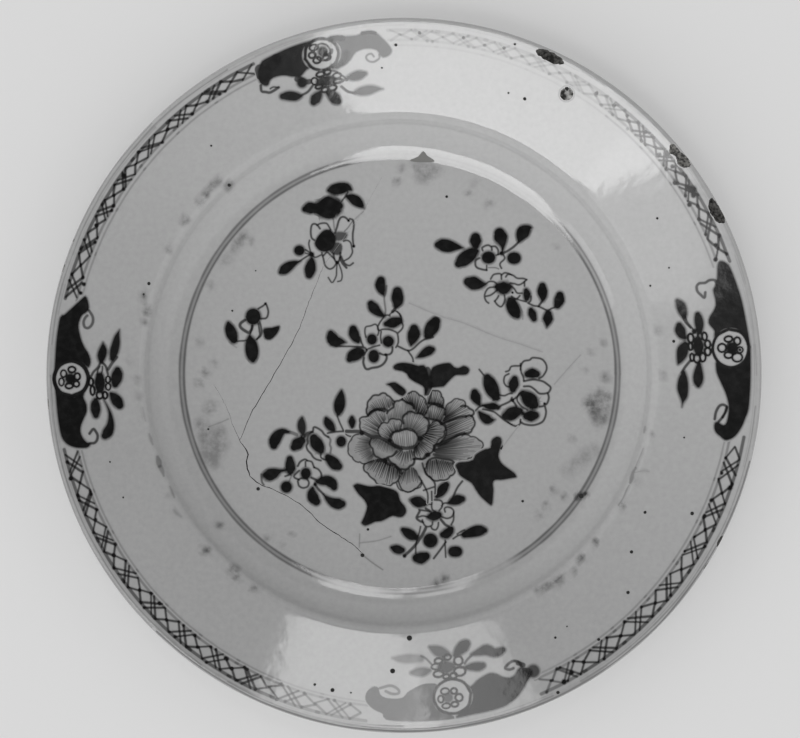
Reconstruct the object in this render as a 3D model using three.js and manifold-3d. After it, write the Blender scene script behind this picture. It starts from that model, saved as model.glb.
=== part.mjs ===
// A cracked and chipped porcelain plate, thrown in one piece.
// Millimetres, +Z up. The origin is under the middle of the rim, on the table that the foot ring stands on.

import * as THREE from 'three';
import { mergeVertices } from 'three/addons/utils/BufferGeometryUtils.js';
import Module from 'manifold-3d';

const manifold = await Module();
manifold.setup();

// The whole plate
const plateDiameter = 230;
const turns = 96;
const arcDivisions = 4;

// The foot and well were trimmed a little off the rim's centre, as on a hand-thrown plate
const wellOffset = new THREE.Vector2(-1.9, 0.8);

// Well and base
const baseHeight = 4.2;
const floorThickness = 3.8;
const wellFlatRadius = 69.1;

// Cavetto, the curved wall between the well and the marly
const cavettoRadius = 16;
const cavettoAngle = THREE.MathUtils.degToRad(52);
const cavettoWall = 3.7;
const shoulderRadius = 4.5;

// Marly, the broad sloping border, and its rounded lip
const marlySlope = THREE.MathUtils.degToRad(12);
const marlyWall = 3.3;
const lipRadius = 1.25;

// Foot ring, a little inside the well's edge and tapering down to a narrow flat edge
const footInset = 2.6;
const footTopWidth = 5;
const footEdgeWidth = 1.8;
const footTaper = 1.1;
const footRounding = 0.5;

// Cracks in the well, from its centre. The main one runs down the left and the branch meets it.
const crackDepth = 0.8;
const crackTaper = 7;
const crackTipShare = 0.2;
const cutClearance = 1;
const mainCrack = {
  width: 0.42,
  points: [
    [-59.9, -3.8], [-57.7, -7.5], [-55.4, -12.0], [-54.0, -16.1], [-51.3, -22.5], [-49.7, -24.4],
    [-48.8, -26.6], [-49.2, -28.9], [-49.0, -31.2], [-48.1, -33.6], [-46.0, -35.5], [-44.0, -36.7],
    [-40.8, -37.7], [-36.2, -40.0], [-32.1, -42.5], [-28.9, -45.2], [-26.2, -48.0], [-23.0, -50.5],
    [-19.3, -52.8], [-15.2, -55.5], [-12.0, -58.2], [-7.9, -62.3],
  ],
};
const branchCrack = {
  width: 0.3,
  points: [
    [-5.0, 64.0], [-7.9, 58.8], [-11.6, 51.9], [-15.4, 47.1], [-19.8, 40.9], [-24.4, 34.6], [-26.2, 30.0],
    [-28.9, 23.2], [-32.1, 14.5], [-34.4, 9.9], [-39.0, 1.7], [-43.5, -6.1], [-47.2, -12.0],
    [-49.4, -17.0], [-51.5, -22.0],
  ],
};

// Chips in the lip: turn is in degrees from +X, inset is how far the middle lies inside the rim's edge,
// and length, breadth and depth are the chip's own size along the rim, across it and down.
const scoopFacets = 2;
const chips = [
  { turn: 65.4, inset: 2.4, length: 9.8, breadth: 3.3, depth: 0.8 },
  { turn: 27.7, inset: 1.2, length: 8.8, breadth: 5.0, depth: 1.1 },
  { turn: 37.6, inset: 1.4, length: 5.6, breadth: 5.4, depth: 1.0 },
  { turn: 39.7, inset: 1.6, length: 4.6, breadth: 4.2, depth: 0.5 },
  { turn: 332.3, inset: 0.2, length: 4.8, breadth: 1.8, depth: 0.9 },
  { turn: 327.8, inset: 0.1, length: 6.4, breadth: 1.0, depth: 0.6 },
  { turn: 162.6, inset: 0.1, length: 5.2, breadth: 0.9, depth: 0.6 },
  { turn: 157.8, inset: 0.1, length: 2.4, breadth: 0.9, depth: 0.6 },
  { turn: 184.6, inset: 0.1, length: 6.0, breadth: 1.0, depth: 0.6 },
];

// A burst bubble in the glaze of the marly
const glazePit = { turn: 60, inset: 10.4, length: 3.5, breadth: 3.5, depth: 0.4 };

// Heights and radii that follow from the sizes above
const rimRadius = plateDiameter / 2;
const wellHeight = baseHeight + floorThickness;
const footRadius = wellFlatRadius - footInset;
const cavettoCentre = new THREE.Vector2(wellFlatRadius, wellHeight + cavettoRadius);
const cavettoTop = along(cavettoCentre, cavettoAngle - Math.PI / 2, cavettoRadius);
const shoulderCentre = along(cavettoTop, cavettoAngle - Math.PI / 2, shoulderRadius);
const marlyStart = along(shoulderCentre, marlySlope + Math.PI / 2, shoulderRadius);
const lipInset = lipRadius * (1 + Math.sin(marlySlope));
const marlyEnd = new THREE.Vector2(
  rimRadius - lipInset,
  marlyStart.y + (rimRadius - lipInset - marlyStart.x) * Math.tan(marlySlope),
);
const lipCentre = along(marlyEnd, marlySlope - Math.PI / 2, lipRadius);
const marlyUnderStart = along(marlyStart, marlySlope - Math.PI / 2, marlyWall);
const cavettoUnderTop = along(cavettoCentre, cavettoAngle - Math.PI / 2, cavettoRadius + cavettoWall);

function along(from, angle, distance) {
  return new THREE.Vector2(from.x + Math.cos(angle) * distance, from.y + Math.sin(angle) * distance);
}

// Half the plate's section. It is drawn from the middle of the well out over the lip and back under to the axis,
// and turned round at the end, because a lathe takes its outline from the underside up.
function plateSection() {
  const down = -Math.PI / 2;
  const footBottomOuter = footRadius - footTaper;
  const footBottomInner = footBottomOuter - footEdgeWidth;
  const section = new THREE.Path();
  section.moveTo(0, wellHeight);
  section.lineTo(wellFlatRadius, wellHeight);
  section.absarc(cavettoCentre.x, cavettoCentre.y, cavettoRadius, down, cavettoAngle + down, false);
  section.absarc(
    shoulderCentre.x, shoulderCentre.y, shoulderRadius, cavettoAngle - down, marlySlope - down, true,
  );
  section.lineTo(marlyEnd.x, marlyEnd.y);
  section.absarc(lipCentre.x, lipCentre.y, lipRadius, marlySlope - down, marlySlope + down, true);
  section.lineTo(marlyUnderStart.x, marlyUnderStart.y);
  section.lineTo(cavettoUnderTop.x, cavettoUnderTop.y);
  section.absarc(
    cavettoCentre.x, cavettoCentre.y, cavettoRadius + cavettoWall, cavettoAngle + down, down, true,
  );
  section.lineTo(footRadius, wellHeight - cavettoWall);
  section.lineTo(footBottomOuter + footRounding, footRounding);
  section.quadraticCurveTo(footBottomOuter + footRounding / 2, 0, footBottomOuter, 0);
  section.lineTo(footBottomInner, 0);
  section.quadraticCurveTo(
    footBottomInner - footRounding / 2, 0, footBottomInner - footRounding, footRounding,
  );
  section.lineTo(footRadius - footTopWidth, baseHeight);
  section.lineTo(0, baseHeight);
  return section.getPoints(arcDivisions).reverse();
}

function toSolid(geometry) {
  const bare = geometry.clone();
  bare.deleteAttribute('normal');
  bare.deleteAttribute('uv');
  const merged = mergeVertices(bare);
  const corners = merged.index.array;
  const kept = [];
  for (let i = 0; i < corners.length; i += 3) {
    const [a, b, c] = corners.slice(i, i + 3);
    if (a !== b && b !== c && c !== a) kept.push(a, b, c);
  }
  const mesh = new manifold.Mesh({
    numProp: 3,
    vertProperties: new Float32Array(merged.attributes.position.array),
    triVerts: new Uint32Array(kept),
  });
  return new manifold.Manifold(mesh);
}

function toGeometry(solid) {
  const mesh = solid.getMesh();
  const geometry = new THREE.BufferGeometry();
  geometry.setAttribute('position', new THREE.BufferAttribute(mesh.vertProperties, 3));
  geometry.setIndex(new THREE.BufferAttribute(mesh.triVerts, 1));
  geometry.computeVertexNormals();
  return geometry;
}

// The lathed blank. Everything inside the marly sits on the well's centre, and the marly leans out to the rim's.
function plateBlank() {
  const blank = new THREE.LatheGeometry(plateSection(), turns);
  blank.rotateX(Math.PI / 2);
  const place = blank.attributes.position;
  for (let i = 0; i < place.count; i++) {
    const radius = Math.hypot(place.getX(i), place.getY(i));
    const outward = (radius - marlyStart.x) / (rimRadius - marlyStart.x);
    const share = 1 - THREE.MathUtils.clamp(outward, 0, 1);
    place.setX(i, place.getX(i) + wellOffset.x * share);
    place.setY(i, place.getY(i) + wellOffset.y * share);
  }
  return blank;
}

// A slot of the crack's plan shape, which thins to nothing at both ends
function crackCut({ width, points }) {
  const line = points.map(([x, y]) => new THREE.Vector2(x, y));
  const reach = [0];
  for (let i = 1; i < line.length; i++) reach.push(reach[i - 1] + line[i].distanceTo(line[i - 1]));
  const length = reach[reach.length - 1];
  const sides = { left: [], right: [] };
  line.forEach((point, i) => {
    const before = line[Math.max(i - 1, 0)];
    const after = line[Math.min(i + 1, line.length - 1)];
    const across = after.clone().sub(before).normalize().rotateAround(new THREE.Vector2(), Math.PI / 2);
    const fromEnd = Math.min(reach[i], length - reach[i]);
    const half = (width / 2) * Math.min(1, crackTipShare + fromEnd / crackTaper);
    sides.left.push(point.clone().addScaledVector(across, half));
    sides.right.unshift(point.clone().addScaledVector(across, -half));
  });
  const plan = new THREE.Shape([...sides.left, ...sides.right]);
  const slot = new THREE.ExtrudeGeometry(plan, { depth: crackDepth + cutClearance, bevelEnabled: false });
  slot.translate(wellOffset.x, wellOffset.y, wellHeight - crackDepth);
  return slot;
}

// A shell-shaped scoop out of the marly's upper face
function scoopCut({ turn, inset, length, breadth, depth }) {
  const radius = rimRadius - inset;
  const onFace = Math.min(radius, marlyEnd.x);
  const height = marlyEnd.y - (marlyEnd.x - onFace) * Math.tan(marlySlope);
  const scoop = new THREE.IcosahedronGeometry(1, scoopFacets);
  scoop.scale(breadth / 2, length / 2, depth);
  scoop.rotateY(-marlySlope);
  scoop.translate(radius, 0, height);
  scoop.rotateZ(THREE.MathUtils.degToRad(turn));
  return scoop;
}

function plateGeometry() {
  const cuts = [
    crackCut(mainCrack),
    crackCut(branchCrack),
    ...chips.map(scoopCut),
    scoopCut(glazePit),
  ];
  let body = toSolid(plateBlank());
  for (const cut of cuts) body = body.subtract(toSolid(cut));
  return toGeometry(body);
}

const glazedPorcelain = new THREE.MeshStandardMaterial({ color: 0xa5a5a4, roughness: 0.12, metalness: 0 });

const plate = new THREE.Mesh(plateGeometry(), glazedPorcelain);
plate.name = 'porcelain_plate';

const group = new THREE.Group();
group.name = 'cracked_plate';
group.add(plate);

export default group;
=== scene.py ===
import math
import random

import bpy
import numpy as np
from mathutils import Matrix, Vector
from mathutils.geometry import delaunay_2d_cdt


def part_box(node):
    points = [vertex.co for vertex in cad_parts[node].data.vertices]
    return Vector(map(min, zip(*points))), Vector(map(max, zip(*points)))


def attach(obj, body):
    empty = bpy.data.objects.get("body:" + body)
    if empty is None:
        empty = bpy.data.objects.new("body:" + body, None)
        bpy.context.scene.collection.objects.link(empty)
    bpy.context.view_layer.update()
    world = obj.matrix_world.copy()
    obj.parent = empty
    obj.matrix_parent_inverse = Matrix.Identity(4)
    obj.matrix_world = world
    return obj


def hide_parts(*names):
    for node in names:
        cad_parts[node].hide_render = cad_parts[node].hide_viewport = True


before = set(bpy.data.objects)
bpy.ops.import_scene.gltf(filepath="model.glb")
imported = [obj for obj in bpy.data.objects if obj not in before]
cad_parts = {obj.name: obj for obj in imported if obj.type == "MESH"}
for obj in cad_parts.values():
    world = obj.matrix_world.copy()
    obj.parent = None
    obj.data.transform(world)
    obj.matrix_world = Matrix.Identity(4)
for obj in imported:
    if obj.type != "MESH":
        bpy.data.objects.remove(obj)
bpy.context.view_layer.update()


# Camera. It looks straight down on the plate from a little over a metre, a hair left of and above the
# rim's middle. The field is what it sees from side to side at the rim's height.
mm = 0.001
rim_height = 21.5 * mm
field_width = 257 * mm
camera_place = (-1.28 * mm, 2.06 * mm, 1.146)
bpy.ops.object.camera_add(location=camera_place, rotation=(0, 0, 0))
camera = bpy.context.object
camera.data.sensor_width = 36
camera.data.lens = camera.data.sensor_width * (camera_place[2] - rim_height) / field_width
camera.data.clip_end = 50
bpy.context.scene.camera = camera
bpy.context.scene.view_settings.view_transform = "Standard"


# Floor. A plain sheet of pale matt paper that the plate stands on. To the camera it is partly a flat pale
# backdrop, so that the plate's shadow stays faint.
def colour(hex_code):
    """A linear colour from an sRGB hex value."""
    parts = [int(hex_code[i:i + 2], 16) / 255 for i in (1, 3, 5)]
    return [c / 12.92 if c <= 0.04045 else ((c + 0.055) / 1.055) ** 2.4 for c in parts] + [1]


def new_material(name):
    """A material and its shader."""
    material = bpy.data.materials.new(name)
    material.use_nodes = True
    shader = material.node_tree.nodes["Principled BSDF"]
    return material, shader


def add_node(tree, kind, settings=None, links=None):
    """Adds a node. Settings go to its own values or input sockets, and links join an input to an
    output."""
    node = tree.nodes.new(kind)
    for key, value in (settings or {}).items():
        if isinstance(key, str) and hasattr(node, key):
            setattr(node, key, value)
        else:
            node.inputs[key].default_value = value
    for key, source in (links or {}).items():
        tree.links.new(source, node.inputs[key])
    return node


floor_size = 6
backdrop_share = 0.4
bpy.ops.mesh.primitive_plane_add(size=floor_size, location=(0, 0, 0))
floor = bpy.context.object
floor.name = "paper_floor"
paper, paper_shader = new_material("matt white paper")
paper_shader.inputs["Base Color"].default_value = colour("#dcdcdc")
paper_shader.inputs["Roughness"].default_value = 0.9
paper_shader.inputs["Specular IOR Level"].default_value = 0.1
paper_nodes = paper.node_tree
backdrop = add_node(paper_nodes, "ShaderNodeEmission", {"Color": colour("#dadada")})
seen_flat = add_node(paper_nodes, "ShaderNodeMath", {"operation": "MULTIPLY", 1: backdrop_share}, {
    0: add_node(paper_nodes, "ShaderNodeLightPath").outputs["Is Camera Ray"]})
paper_mix = add_node(paper_nodes, "ShaderNodeMixShader", {}, {
    0: seen_flat.outputs[0], 1: paper_shader.outputs["BSDF"], 2: backdrop.outputs["Emission"]})
paper_surface = paper_nodes.nodes["Material Output"].inputs["Surface"]
paper_nodes.links.new(paper_mix.outputs["Shader"], paper_surface)
floor.data.materials.append(paper)


# Studio light. A soft box past the plate's near side and a pair past its far side hang high enough to be
# mirrored in the sloping border, and a weaker one hangs to the near left. The room is pale, and dark
# overhead, where the camera hangs, so that the painting stays black.
lamp_height = 2.2


def soft_box(name, left, right, near, far, radiance):
    """An area lamp over that rectangle of the floor, turned to face the plate."""
    middle = Vector(((left + right) / 2, (near + far) / 2, lamp_height))
    bpy.ops.object.light_add(type="AREA", location=middle)
    lamp = bpy.context.object
    lamp.name = name
    lamp.rotation_euler = middle.to_track_quat("Z", "Y").to_euler()
    lamp.data.shape = "RECTANGLE"
    lamp.data.size = right - left
    lamp.data.size_y = (far - near) / math.cos(math.atan2(middle.y, lamp_height))
    lamp.data.energy = radiance * math.pi * lamp.data.size * lamp.data.size_y


soft_box("near_soft_box", -0.52, 0.15, -0.82, -0.38, 5.9)
soft_box("side_soft_box", -0.86, -0.50, -0.62, -0.17, 1.5)
soft_box("far_left_soft_box", -0.225, -0.03, 0.46, 0.80, 3.4)
soft_box("far_right_soft_box", -0.03, 0.255, 0.46, 0.80, 5.2)

# The room's brightness, the way it is darkest in and how dark it gets there, the cosines between which that
# spot begins and is full, how much brighter the near left is, and how bright the camera sees it all
room_level = 0.98
overhead = (0.10, 0.14, 0.985)
overhead_level = 0.12
overhead_edge = (0.82, 0.935)
near_left = (-0.52, -0.86, 0)
near_left_gain = 0.36
seen_level = 0.72
world = bpy.data.worlds.new("pale room")
bpy.context.scene.world = world
world.use_nodes = True
tree = world.node_tree
room = tree.nodes["Background"]
room.inputs["Color"].default_value = colour("#ffffff")
facing = add_node(tree, "ShaderNodeTexCoord").outputs["Generated"]
dark_spot = add_node(tree, "ShaderNodeVectorMath", {"operation": "DOT_PRODUCT", 1: overhead}, {0: facing})
level = add_node(tree, "ShaderNodeMapRange", {
    "interpolation_type": "SMOOTHSTEP", "From Min": overhead_edge[0], "From Max": overhead_edge[1],
    "To Min": room_level, "To Max": overhead_level}, {"Value": dark_spot.outputs["Value"]})
near_side = add_node(tree, "ShaderNodeVectorMath", {"operation": "DOT_PRODUCT", 1: near_left}, {0: facing})
tilt = add_node(tree, "ShaderNodeMath", {"operation": "MULTIPLY_ADD", 1: near_left_gain, 2: 1}, {
    0: near_side.outputs["Value"]})
tilted = add_node(tree, "ShaderNodeMath", {"operation": "MULTIPLY"}, {
    0: level.outputs["Result"], 1: tilt.outputs[0]})
light_path = add_node(tree, "ShaderNodeLightPath")
seen = add_node(tree, "ShaderNodeMix", {"B": seen_level}, {
    "Factor": light_path.outputs["Is Camera Ray"], "A": tilted.outputs[0]})
tree.links.new(seen.outputs["Result"], room.inputs["Strength"])


# Plate. Porcelain thrown in one piece and turned down to a foot ring, then glazed all over but for the
# foot's edge. The well and foot sit a little off the rim's centre. All its sizes are in millimetres.
plate_low, plate_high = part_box("porcelain_plate")
rim_radius = (plate_high.x - plate_low.x) / 2 / mm
well_offset = np.array([-1.9, 0.8])
base_height = 4.2
well_height = base_height + 3.8
well_radius = 69.1
cavetto_radius = 16
cavetto_angle = math.radians(52)
cavetto_wall = 3.7
shoulder_radius = 4.5
marly_slope = math.radians(11.8)
marly_wall = 3.3
lip_radius = 1.25
edge_start = math.radians(7.6)
edge_stop = math.radians(13.3)
edge_width = 4.6
foot_radius = well_radius - 2.6
foot_top_width = 5
foot_edge_width = 1.8
foot_taper = 1.1
foot_rounding = 0.5
ring_spacing = 1.5
under_spacing = 5
base_spacing = 6
least_step = 0.02
turns = 320


def along(start, angle, distance):
    """The point at that distance and angle from the start."""
    return start + np.array([math.cos(angle), math.sin(angle)]) * distance


def arc(centre, radius, start, stop, steps):
    """Points on an arc, from one angle to another."""
    return [along(centre, start + (stop - start) * k / steps, radius) for k in range(steps + 1)]


def stretch(start, stop, spacing):
    """Points on a straight line, about that far apart."""
    steps = max(1, round(float(np.linalg.norm(stop - start)) / spacing))
    return [start + (stop - start) * k / steps for k in range(steps + 1)]


down = -math.pi / 2
cavetto_centre = np.array([well_radius, well_height + cavetto_radius])
cavetto_top = along(cavetto_centre, cavetto_angle + down, cavetto_radius)
shoulder_centre = along(cavetto_top, cavetto_angle + down, shoulder_radius)
marly_start = along(shoulder_centre, marly_slope - down, shoulder_radius)
marly_width = rim_radius - lip_radius * (1 + math.sin(marly_slope)) - marly_start[0]
marly_end = marly_start + marly_width * np.array([1, math.tan(marly_slope)])
lip_centre = along(marly_end, marly_slope + down, lip_radius)
marly_under = along(marly_start, marly_slope + down, marly_wall)

# The well's edge rises slowly before it turns up into the cavetto, whose last stretch is straight
flat_stop = well_radius - 0.4
edge_radius = edge_width / (math.sin(edge_stop) - math.sin(edge_start))
edge_centre = along(np.array([well_radius, well_height]), edge_start - down, edge_radius)
edge_end = along(edge_centre, edge_stop + down, edge_radius)
turn_share = [math.sin(cavetto_angle) - math.sin(edge_stop), math.cos(edge_stop) - math.cos(cavetto_angle)]
straight_share = [math.cos(cavetto_angle), math.sin(cavetto_angle)]
bowl_radius = np.linalg.solve(np.array([turn_share, straight_share]).T, cavetto_top - edge_end)[0]
bowl_centre = along(edge_end, edge_stop - down, bowl_radius)


def upper_face(fineness):
    """The section's upper side, from the middle of the well out to the lip."""
    points = stretch(np.array([0, well_height]), np.array([flat_stop, well_height]), ring_spacing)
    points += arc(edge_centre, edge_radius, edge_start + down, edge_stop + down, 4 * fineness)
    points += arc(bowl_centre, bowl_radius, edge_stop + down, cavetto_angle + down, 12 * fineness)
    points += arc(shoulder_centre, shoulder_radius, cavetto_angle - down, marly_slope - down, 6 * fineness)
    points += stretch(marly_start, marly_end, ring_spacing)
    points += arc(lip_centre, lip_radius, marly_slope - down, 0, 8 * fineness)
    return points


def plate_section():
    """Half the plate's section, from the well's middle out over the lip and back under to the axis."""
    foot_outer = foot_radius - foot_taper
    foot_inner = foot_outer - foot_edge_width
    points = upper_face(1) + arc(lip_centre, lip_radius, 0, marly_slope + down, 6)
    points += stretch(marly_end - (marly_end - lip_centre) * 2, marly_under, under_spacing)
    points += arc(cavetto_centre, cavetto_radius + cavetto_wall, cavetto_angle + down, down, 12)
    points += [
        np.array([foot_radius, well_height - cavetto_wall]),
        np.array([foot_outer + foot_rounding, foot_rounding]),
        np.array([foot_outer + foot_rounding * 0.3, foot_rounding * 0.3]),
        np.array([foot_outer, 0]),
        np.array([foot_inner, 0]),
        np.array([foot_inner - foot_rounding * 0.3, foot_rounding * 0.3]),
        np.array([foot_inner - foot_rounding, foot_rounding]),
        np.array([foot_radius - foot_top_width, base_height]),
    ]
    points += stretch(points[-1], np.array([0, base_height]), base_spacing)
    apart = [points[0]]
    for point in points[1:]:
        if np.linalg.norm(point - apart[-1]) > least_step:
            apart.append(point)
    return apart


def off_centre(radius):
    """The share of the well's offset that a ring of the section has: all in the well, none at the rim."""
    return np.clip((rim_radius - radius) / (rim_radius - marly_start[0]), 0, 1)


def glaze_height(at):
    """The height of the glaze at each (x, y)."""
    radius = np.hypot(at[:, 0], at[:, 1])
    for _ in range(5):
        moved = at - off_centre(radius)[:, None] * well_offset
        radius = np.hypot(moved[:, 0], moved[:, 1])
    return np.interp(radius, fine_face[:, 0], fine_face[:, 1])


def glaze_normal(at):
    """The way the glaze faces at each (x, y)."""
    step = least_step
    slope_x = (glaze_height(at + [step, 0]) - glaze_height(at - [step, 0])) / (2 * step)
    slope_y = (glaze_height(at + [0, step]) - glaze_height(at - [0, step])) / (2 * step)
    normal = np.stack([-slope_x, -slope_y, np.ones(len(at))], 1)
    return normal / np.linalg.norm(normal, axis=1)[:, None]


fine_face = np.array(upper_face(10))
section = plate_section()
bpy.ops.object.select_all(action="DESELECT")
bpy.ops.mesh.primitive_plane_add(size=mm, location=(0, 0, section[0][1] * mm))
plate = bpy.context.object
plate.name = "plate_body"
bpy.ops.object.transform_apply(location=True, rotation=False, scale=False)
bpy.ops.object.mode_set(mode="EDIT")
bpy.ops.mesh.select_all(action="SELECT")
bpy.ops.mesh.merge(type="CENTER")
for before, after in zip(section, section[1:]):
    step = (after - before) * mm
    bpy.ops.mesh.extrude_region_move(TRANSFORM_OT_translate={"value": (step[0], 0, step[1])})
bpy.ops.mesh.select_all(action="SELECT")
bpy.ops.mesh.spin(steps=turns, angle=2 * math.pi, center=(0, 0, 0), axis=(0, 0, 1))
bpy.ops.mesh.select_all(action="SELECT")
bpy.ops.mesh.remove_doubles(threshold=0.002 * mm)
bpy.ops.mesh.normals_make_consistent(inside=False)
bpy.ops.object.mode_set(mode="OBJECT")
for vertex in plate.data.vertices:
    share = off_centre(math.hypot(vertex.co.x, vertex.co.y) / mm) * mm
    vertex.co.x += well_offset[0] * share
    vertex.co.y += well_offset[1] * share

# The sizes of the glaze's own patterns. Its specks, the pools in its ink and its orange peel are finer in
# the real one, and are drawn this coarse so that they show.
cloud_size = 30 * mm
speck_size = 1.6 * mm
pool_size = 2.2 * mm
dirt_size = 4 * mm
ripple_size = 14 * mm
peel_size = 2.6 * mm
ripple_depth = 0.06 * mm
# The side towards which the glaze is painted paler, as painted light falling from the upper right, and how
# far out it is palest
painted_light_side = (0.42, 0.91, 0)
painted_light_reach = 60 * mm
# The glaze's own gloss
glaze_roughness = 0.06
glaze_ior = 1.5


def glaze_material(name):
    """Clear glaze over porcelain or over brush painting. It is thick and glassy, painted a little paler
    towards one side and darker towards the other as painted light, uneven enough to make the mirrored
    lamps waver, and dirt has settled on it."""
    material, shader = new_material(name)
    tree = material.node_tree
    place = add_node(tree, "ShaderNodeTexCoord").outputs["Object"]
    cloud = add_node(tree, "ShaderNodeTexNoise", {"Scale": 1 / cloud_size, "Detail": 3}, {"Vector": place})
    speck = add_node(tree, "ShaderNodeTexNoise", {"Scale": 1 / speck_size, "Detail": 2}, {"Vector": place})
    mottle = add_node(tree, "ShaderNodeMath", {"operation": "MULTIPLY_ADD", 1: 0.45}, {
        0: cloud.outputs["Fac"], 2: speck.outputs["Fac"]})
    # Painted light: the glaze is made paler towards the upper right and darker towards the lower left
    across = add_node(tree, "ShaderNodeVectorMath", {"operation": "DOT_PRODUCT", 1: painted_light_side}, {0: place})
    painted_light_gradient = add_node(tree, "ShaderNodeMapRange", {
        "From Min": -painted_light_reach, "From Max": painted_light_reach, "To Min": 0.5, "To Max": -0.5}, {
        "Value": across.outputs["Value"]})
    shade = add_node(tree, "ShaderNodeMath", {"operation": "ADD"}, {
        0: mottle.outputs[0], 1: painted_light_gradient.outputs["Result"]})
    tone = add_node(tree, "ShaderNodeMapRange", {"From Min": -0.6, "From Max": 2.0}, {
        "Value": shade.outputs[0]})
    glaze = add_node(tree, "ShaderNodeMix", {
        "data_type": "RGBA", "A": colour("#b4b4b4"), "B": colour("#929292")}, {
        "Factor": tone.outputs["Result"]})
    ink = add_node(tree, "ShaderNodeAttribute", {"attribute_name": "ink"})
    pool = add_node(tree, "ShaderNodeTexNoise", {"Scale": 1 / pool_size, "Detail": 3}, {"Vector": place})
    pooled = add_node(tree, "ShaderNodeMapRange", {"From Min": 0.42, "From Max": 0.75}, {
        "Value": pool.outputs["Fac"]})
    pigment = add_node(tree, "ShaderNodeMix", {
        "data_type": "RGBA", "A": colour("#040404"), "B": colour("#161616")}, {
        "Factor": pooled.outputs["Result"]})
    painted = add_node(tree, "ShaderNodeMix", {"data_type": "RGBA"}, {
        "Factor": ink.outputs["Fac"], "A": glaze.outputs["Result"], "B": pigment.outputs["Result"]})
    grime = add_node(tree, "ShaderNodeAttribute", {"attribute_name": "grime"})
    patchy = add_node(tree, "ShaderNodeTexNoise", {
        "Scale": 1 / dirt_size, "Detail": 5, "Roughness": 0.65}, {"Vector": place})
    broken = add_node(tree, "ShaderNodeMapRange", {"From Min": 0.27, "From Max": 0.6}, {
        "Value": patchy.outputs["Fac"]})
    settled = add_node(tree, "ShaderNodeMath", {"operation": "MULTIPLY"}, {
        0: grime.outputs["Fac"], 1: broken.outputs["Result"]})
    dirty = add_node(tree, "ShaderNodeMix", {"data_type": "RGBA", "B": colour("#333333")}, {
        "Factor": settled.outputs[0], "A": painted.outputs["Result"]})
    tree.links.new(dirty.outputs["Result"], shader.inputs["Base Color"])
    ripple = add_node(tree, "ShaderNodeTexNoise", {"Scale": 1 / ripple_size, "Detail": 2}, {
        "Vector": place})
    peel = add_node(tree, "ShaderNodeTexNoise", {"Scale": 1 / peel_size, "Detail": 2}, {"Vector": place})
    relief = add_node(tree, "ShaderNodeMath", {"operation": "MULTIPLY_ADD", 1: 0.16}, {
        0: peel.outputs["Fac"], 2: ripple.outputs["Fac"]})
    bump = add_node(tree, "ShaderNodeBump", {"Strength": 1, "Distance": ripple_depth}, {
        "Height": relief.outputs[0]})
    tree.links.new(bump.outputs["Normal"], shader.inputs["Normal"])
    shader.inputs["Roughness"].default_value = glaze_roughness
    shader.inputs["IOR"].default_value = glaze_ior
    return material


# Damage. The lip is chipped in nine places, a bubble has burst in the border's glaze, and two cracks run
# through the well. Each chip is a scoop with a broken, uneven face, and each crack a groove that dirt has
# filled. A chip has its turn in degrees from the right, its middle's inset from the rim's edge, and its
# own length along the rim, breadth across it and depth.
chip_parts = ("turn", "inset", "length", "breadth", "depth", "stain")
chips = [dict(zip(chip_parts, values)) for values in (
    (65.4, 2.4, 9.8, 3.3, 0.8, "black"),
    (27.7, 1.2, 8.8, 5, 1.1, "black"),
    (37.6, 1.4, 5.6, 5.4, 1, "grey"),
    (39.7, 1.6, 4.6, 4.2, 0.5, "grey"),
    (332.3, 0.2, 4.8, 1.8, 0.9, "black"),
    (327.8, 0.1, 6.4, 1, 0.6, "grey"),
    (162.6, 0.1, 5.2, 0.9, 0.6, "grey"),
    (157.8, 0.1, 2.4, 0.9, 0.6, "grey"),
    (184.6, 0.1, 6, 1, 0.6, "grey"),
    (60, 10.4, 4.9, 4.9, 0.4, "bubble"),
)]
# Cracks: (x, y) from the well's centre, and the width there
main_crack = [
    (-59.9, -3.8, 0.04), (-57.7, -7.5, 0.05), (-55.4, -12, 0.07), (-54, -16.1, 0.08), (-51.3, -22.5, 0.14),
    (-49.7, -24.4, 0.28), (-48.8, -26.6, 0.36), (-49.2, -28.9, 0.42), (-49, -31.2, 0.34),
    (-48.1, -33.6, 0.26), (-46, -35.5, 0.24), (-44, -36.7, 0.24), (-40.8, -37.7, 0.22), (-36.2, -40, 0.2),
    (-32.1, -42.5, 0.2), (-28.9, -45.2, 0.22), (-26.2, -48, 0.22), (-23, -50.5, 0.26),
    (-19.3, -52.8, 0.22), (-15.2, -55.5, 0.2), (-12, -58.2, 0.16), (-7.9, -62.3, 0.06),
]
branch_crack = [
    (-5, 64, 0.02), (-7.9, 58.8, 0.03), (-11.6, 51.9, 0.03), (-15.4, 47.1, 0.03), (-19.8, 40.9, 0.04),
    (-24.4, 34.6, 0.06), (-26.2, 30, 0.1), (-28.9, 23.2, 0.13), (-32.1, 14.5, 0.15), (-34.4, 9.9, 0.18),
    (-39, 1.7, 0.2), (-43.5, -6.1, 0.22), (-47.2, -12, 0.22), (-49.4, -17, 0.18), (-51.5, -22, 0.1),
]
crack_depth = 0.8
crack_reach = 0.25
crack_steps = 1.3
crack_wander = 0.12
break_grain = 0.9 * mm
bubble_grain = 1.8 * mm
foot_grain = 3 * mm
lump_size = 1.6 * mm
lump_level = 0.55
chip_roughness = 0.22
bubble_roughness = 0.02
sharpest_smooth = math.radians(38)
chance = random.Random(11)


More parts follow.
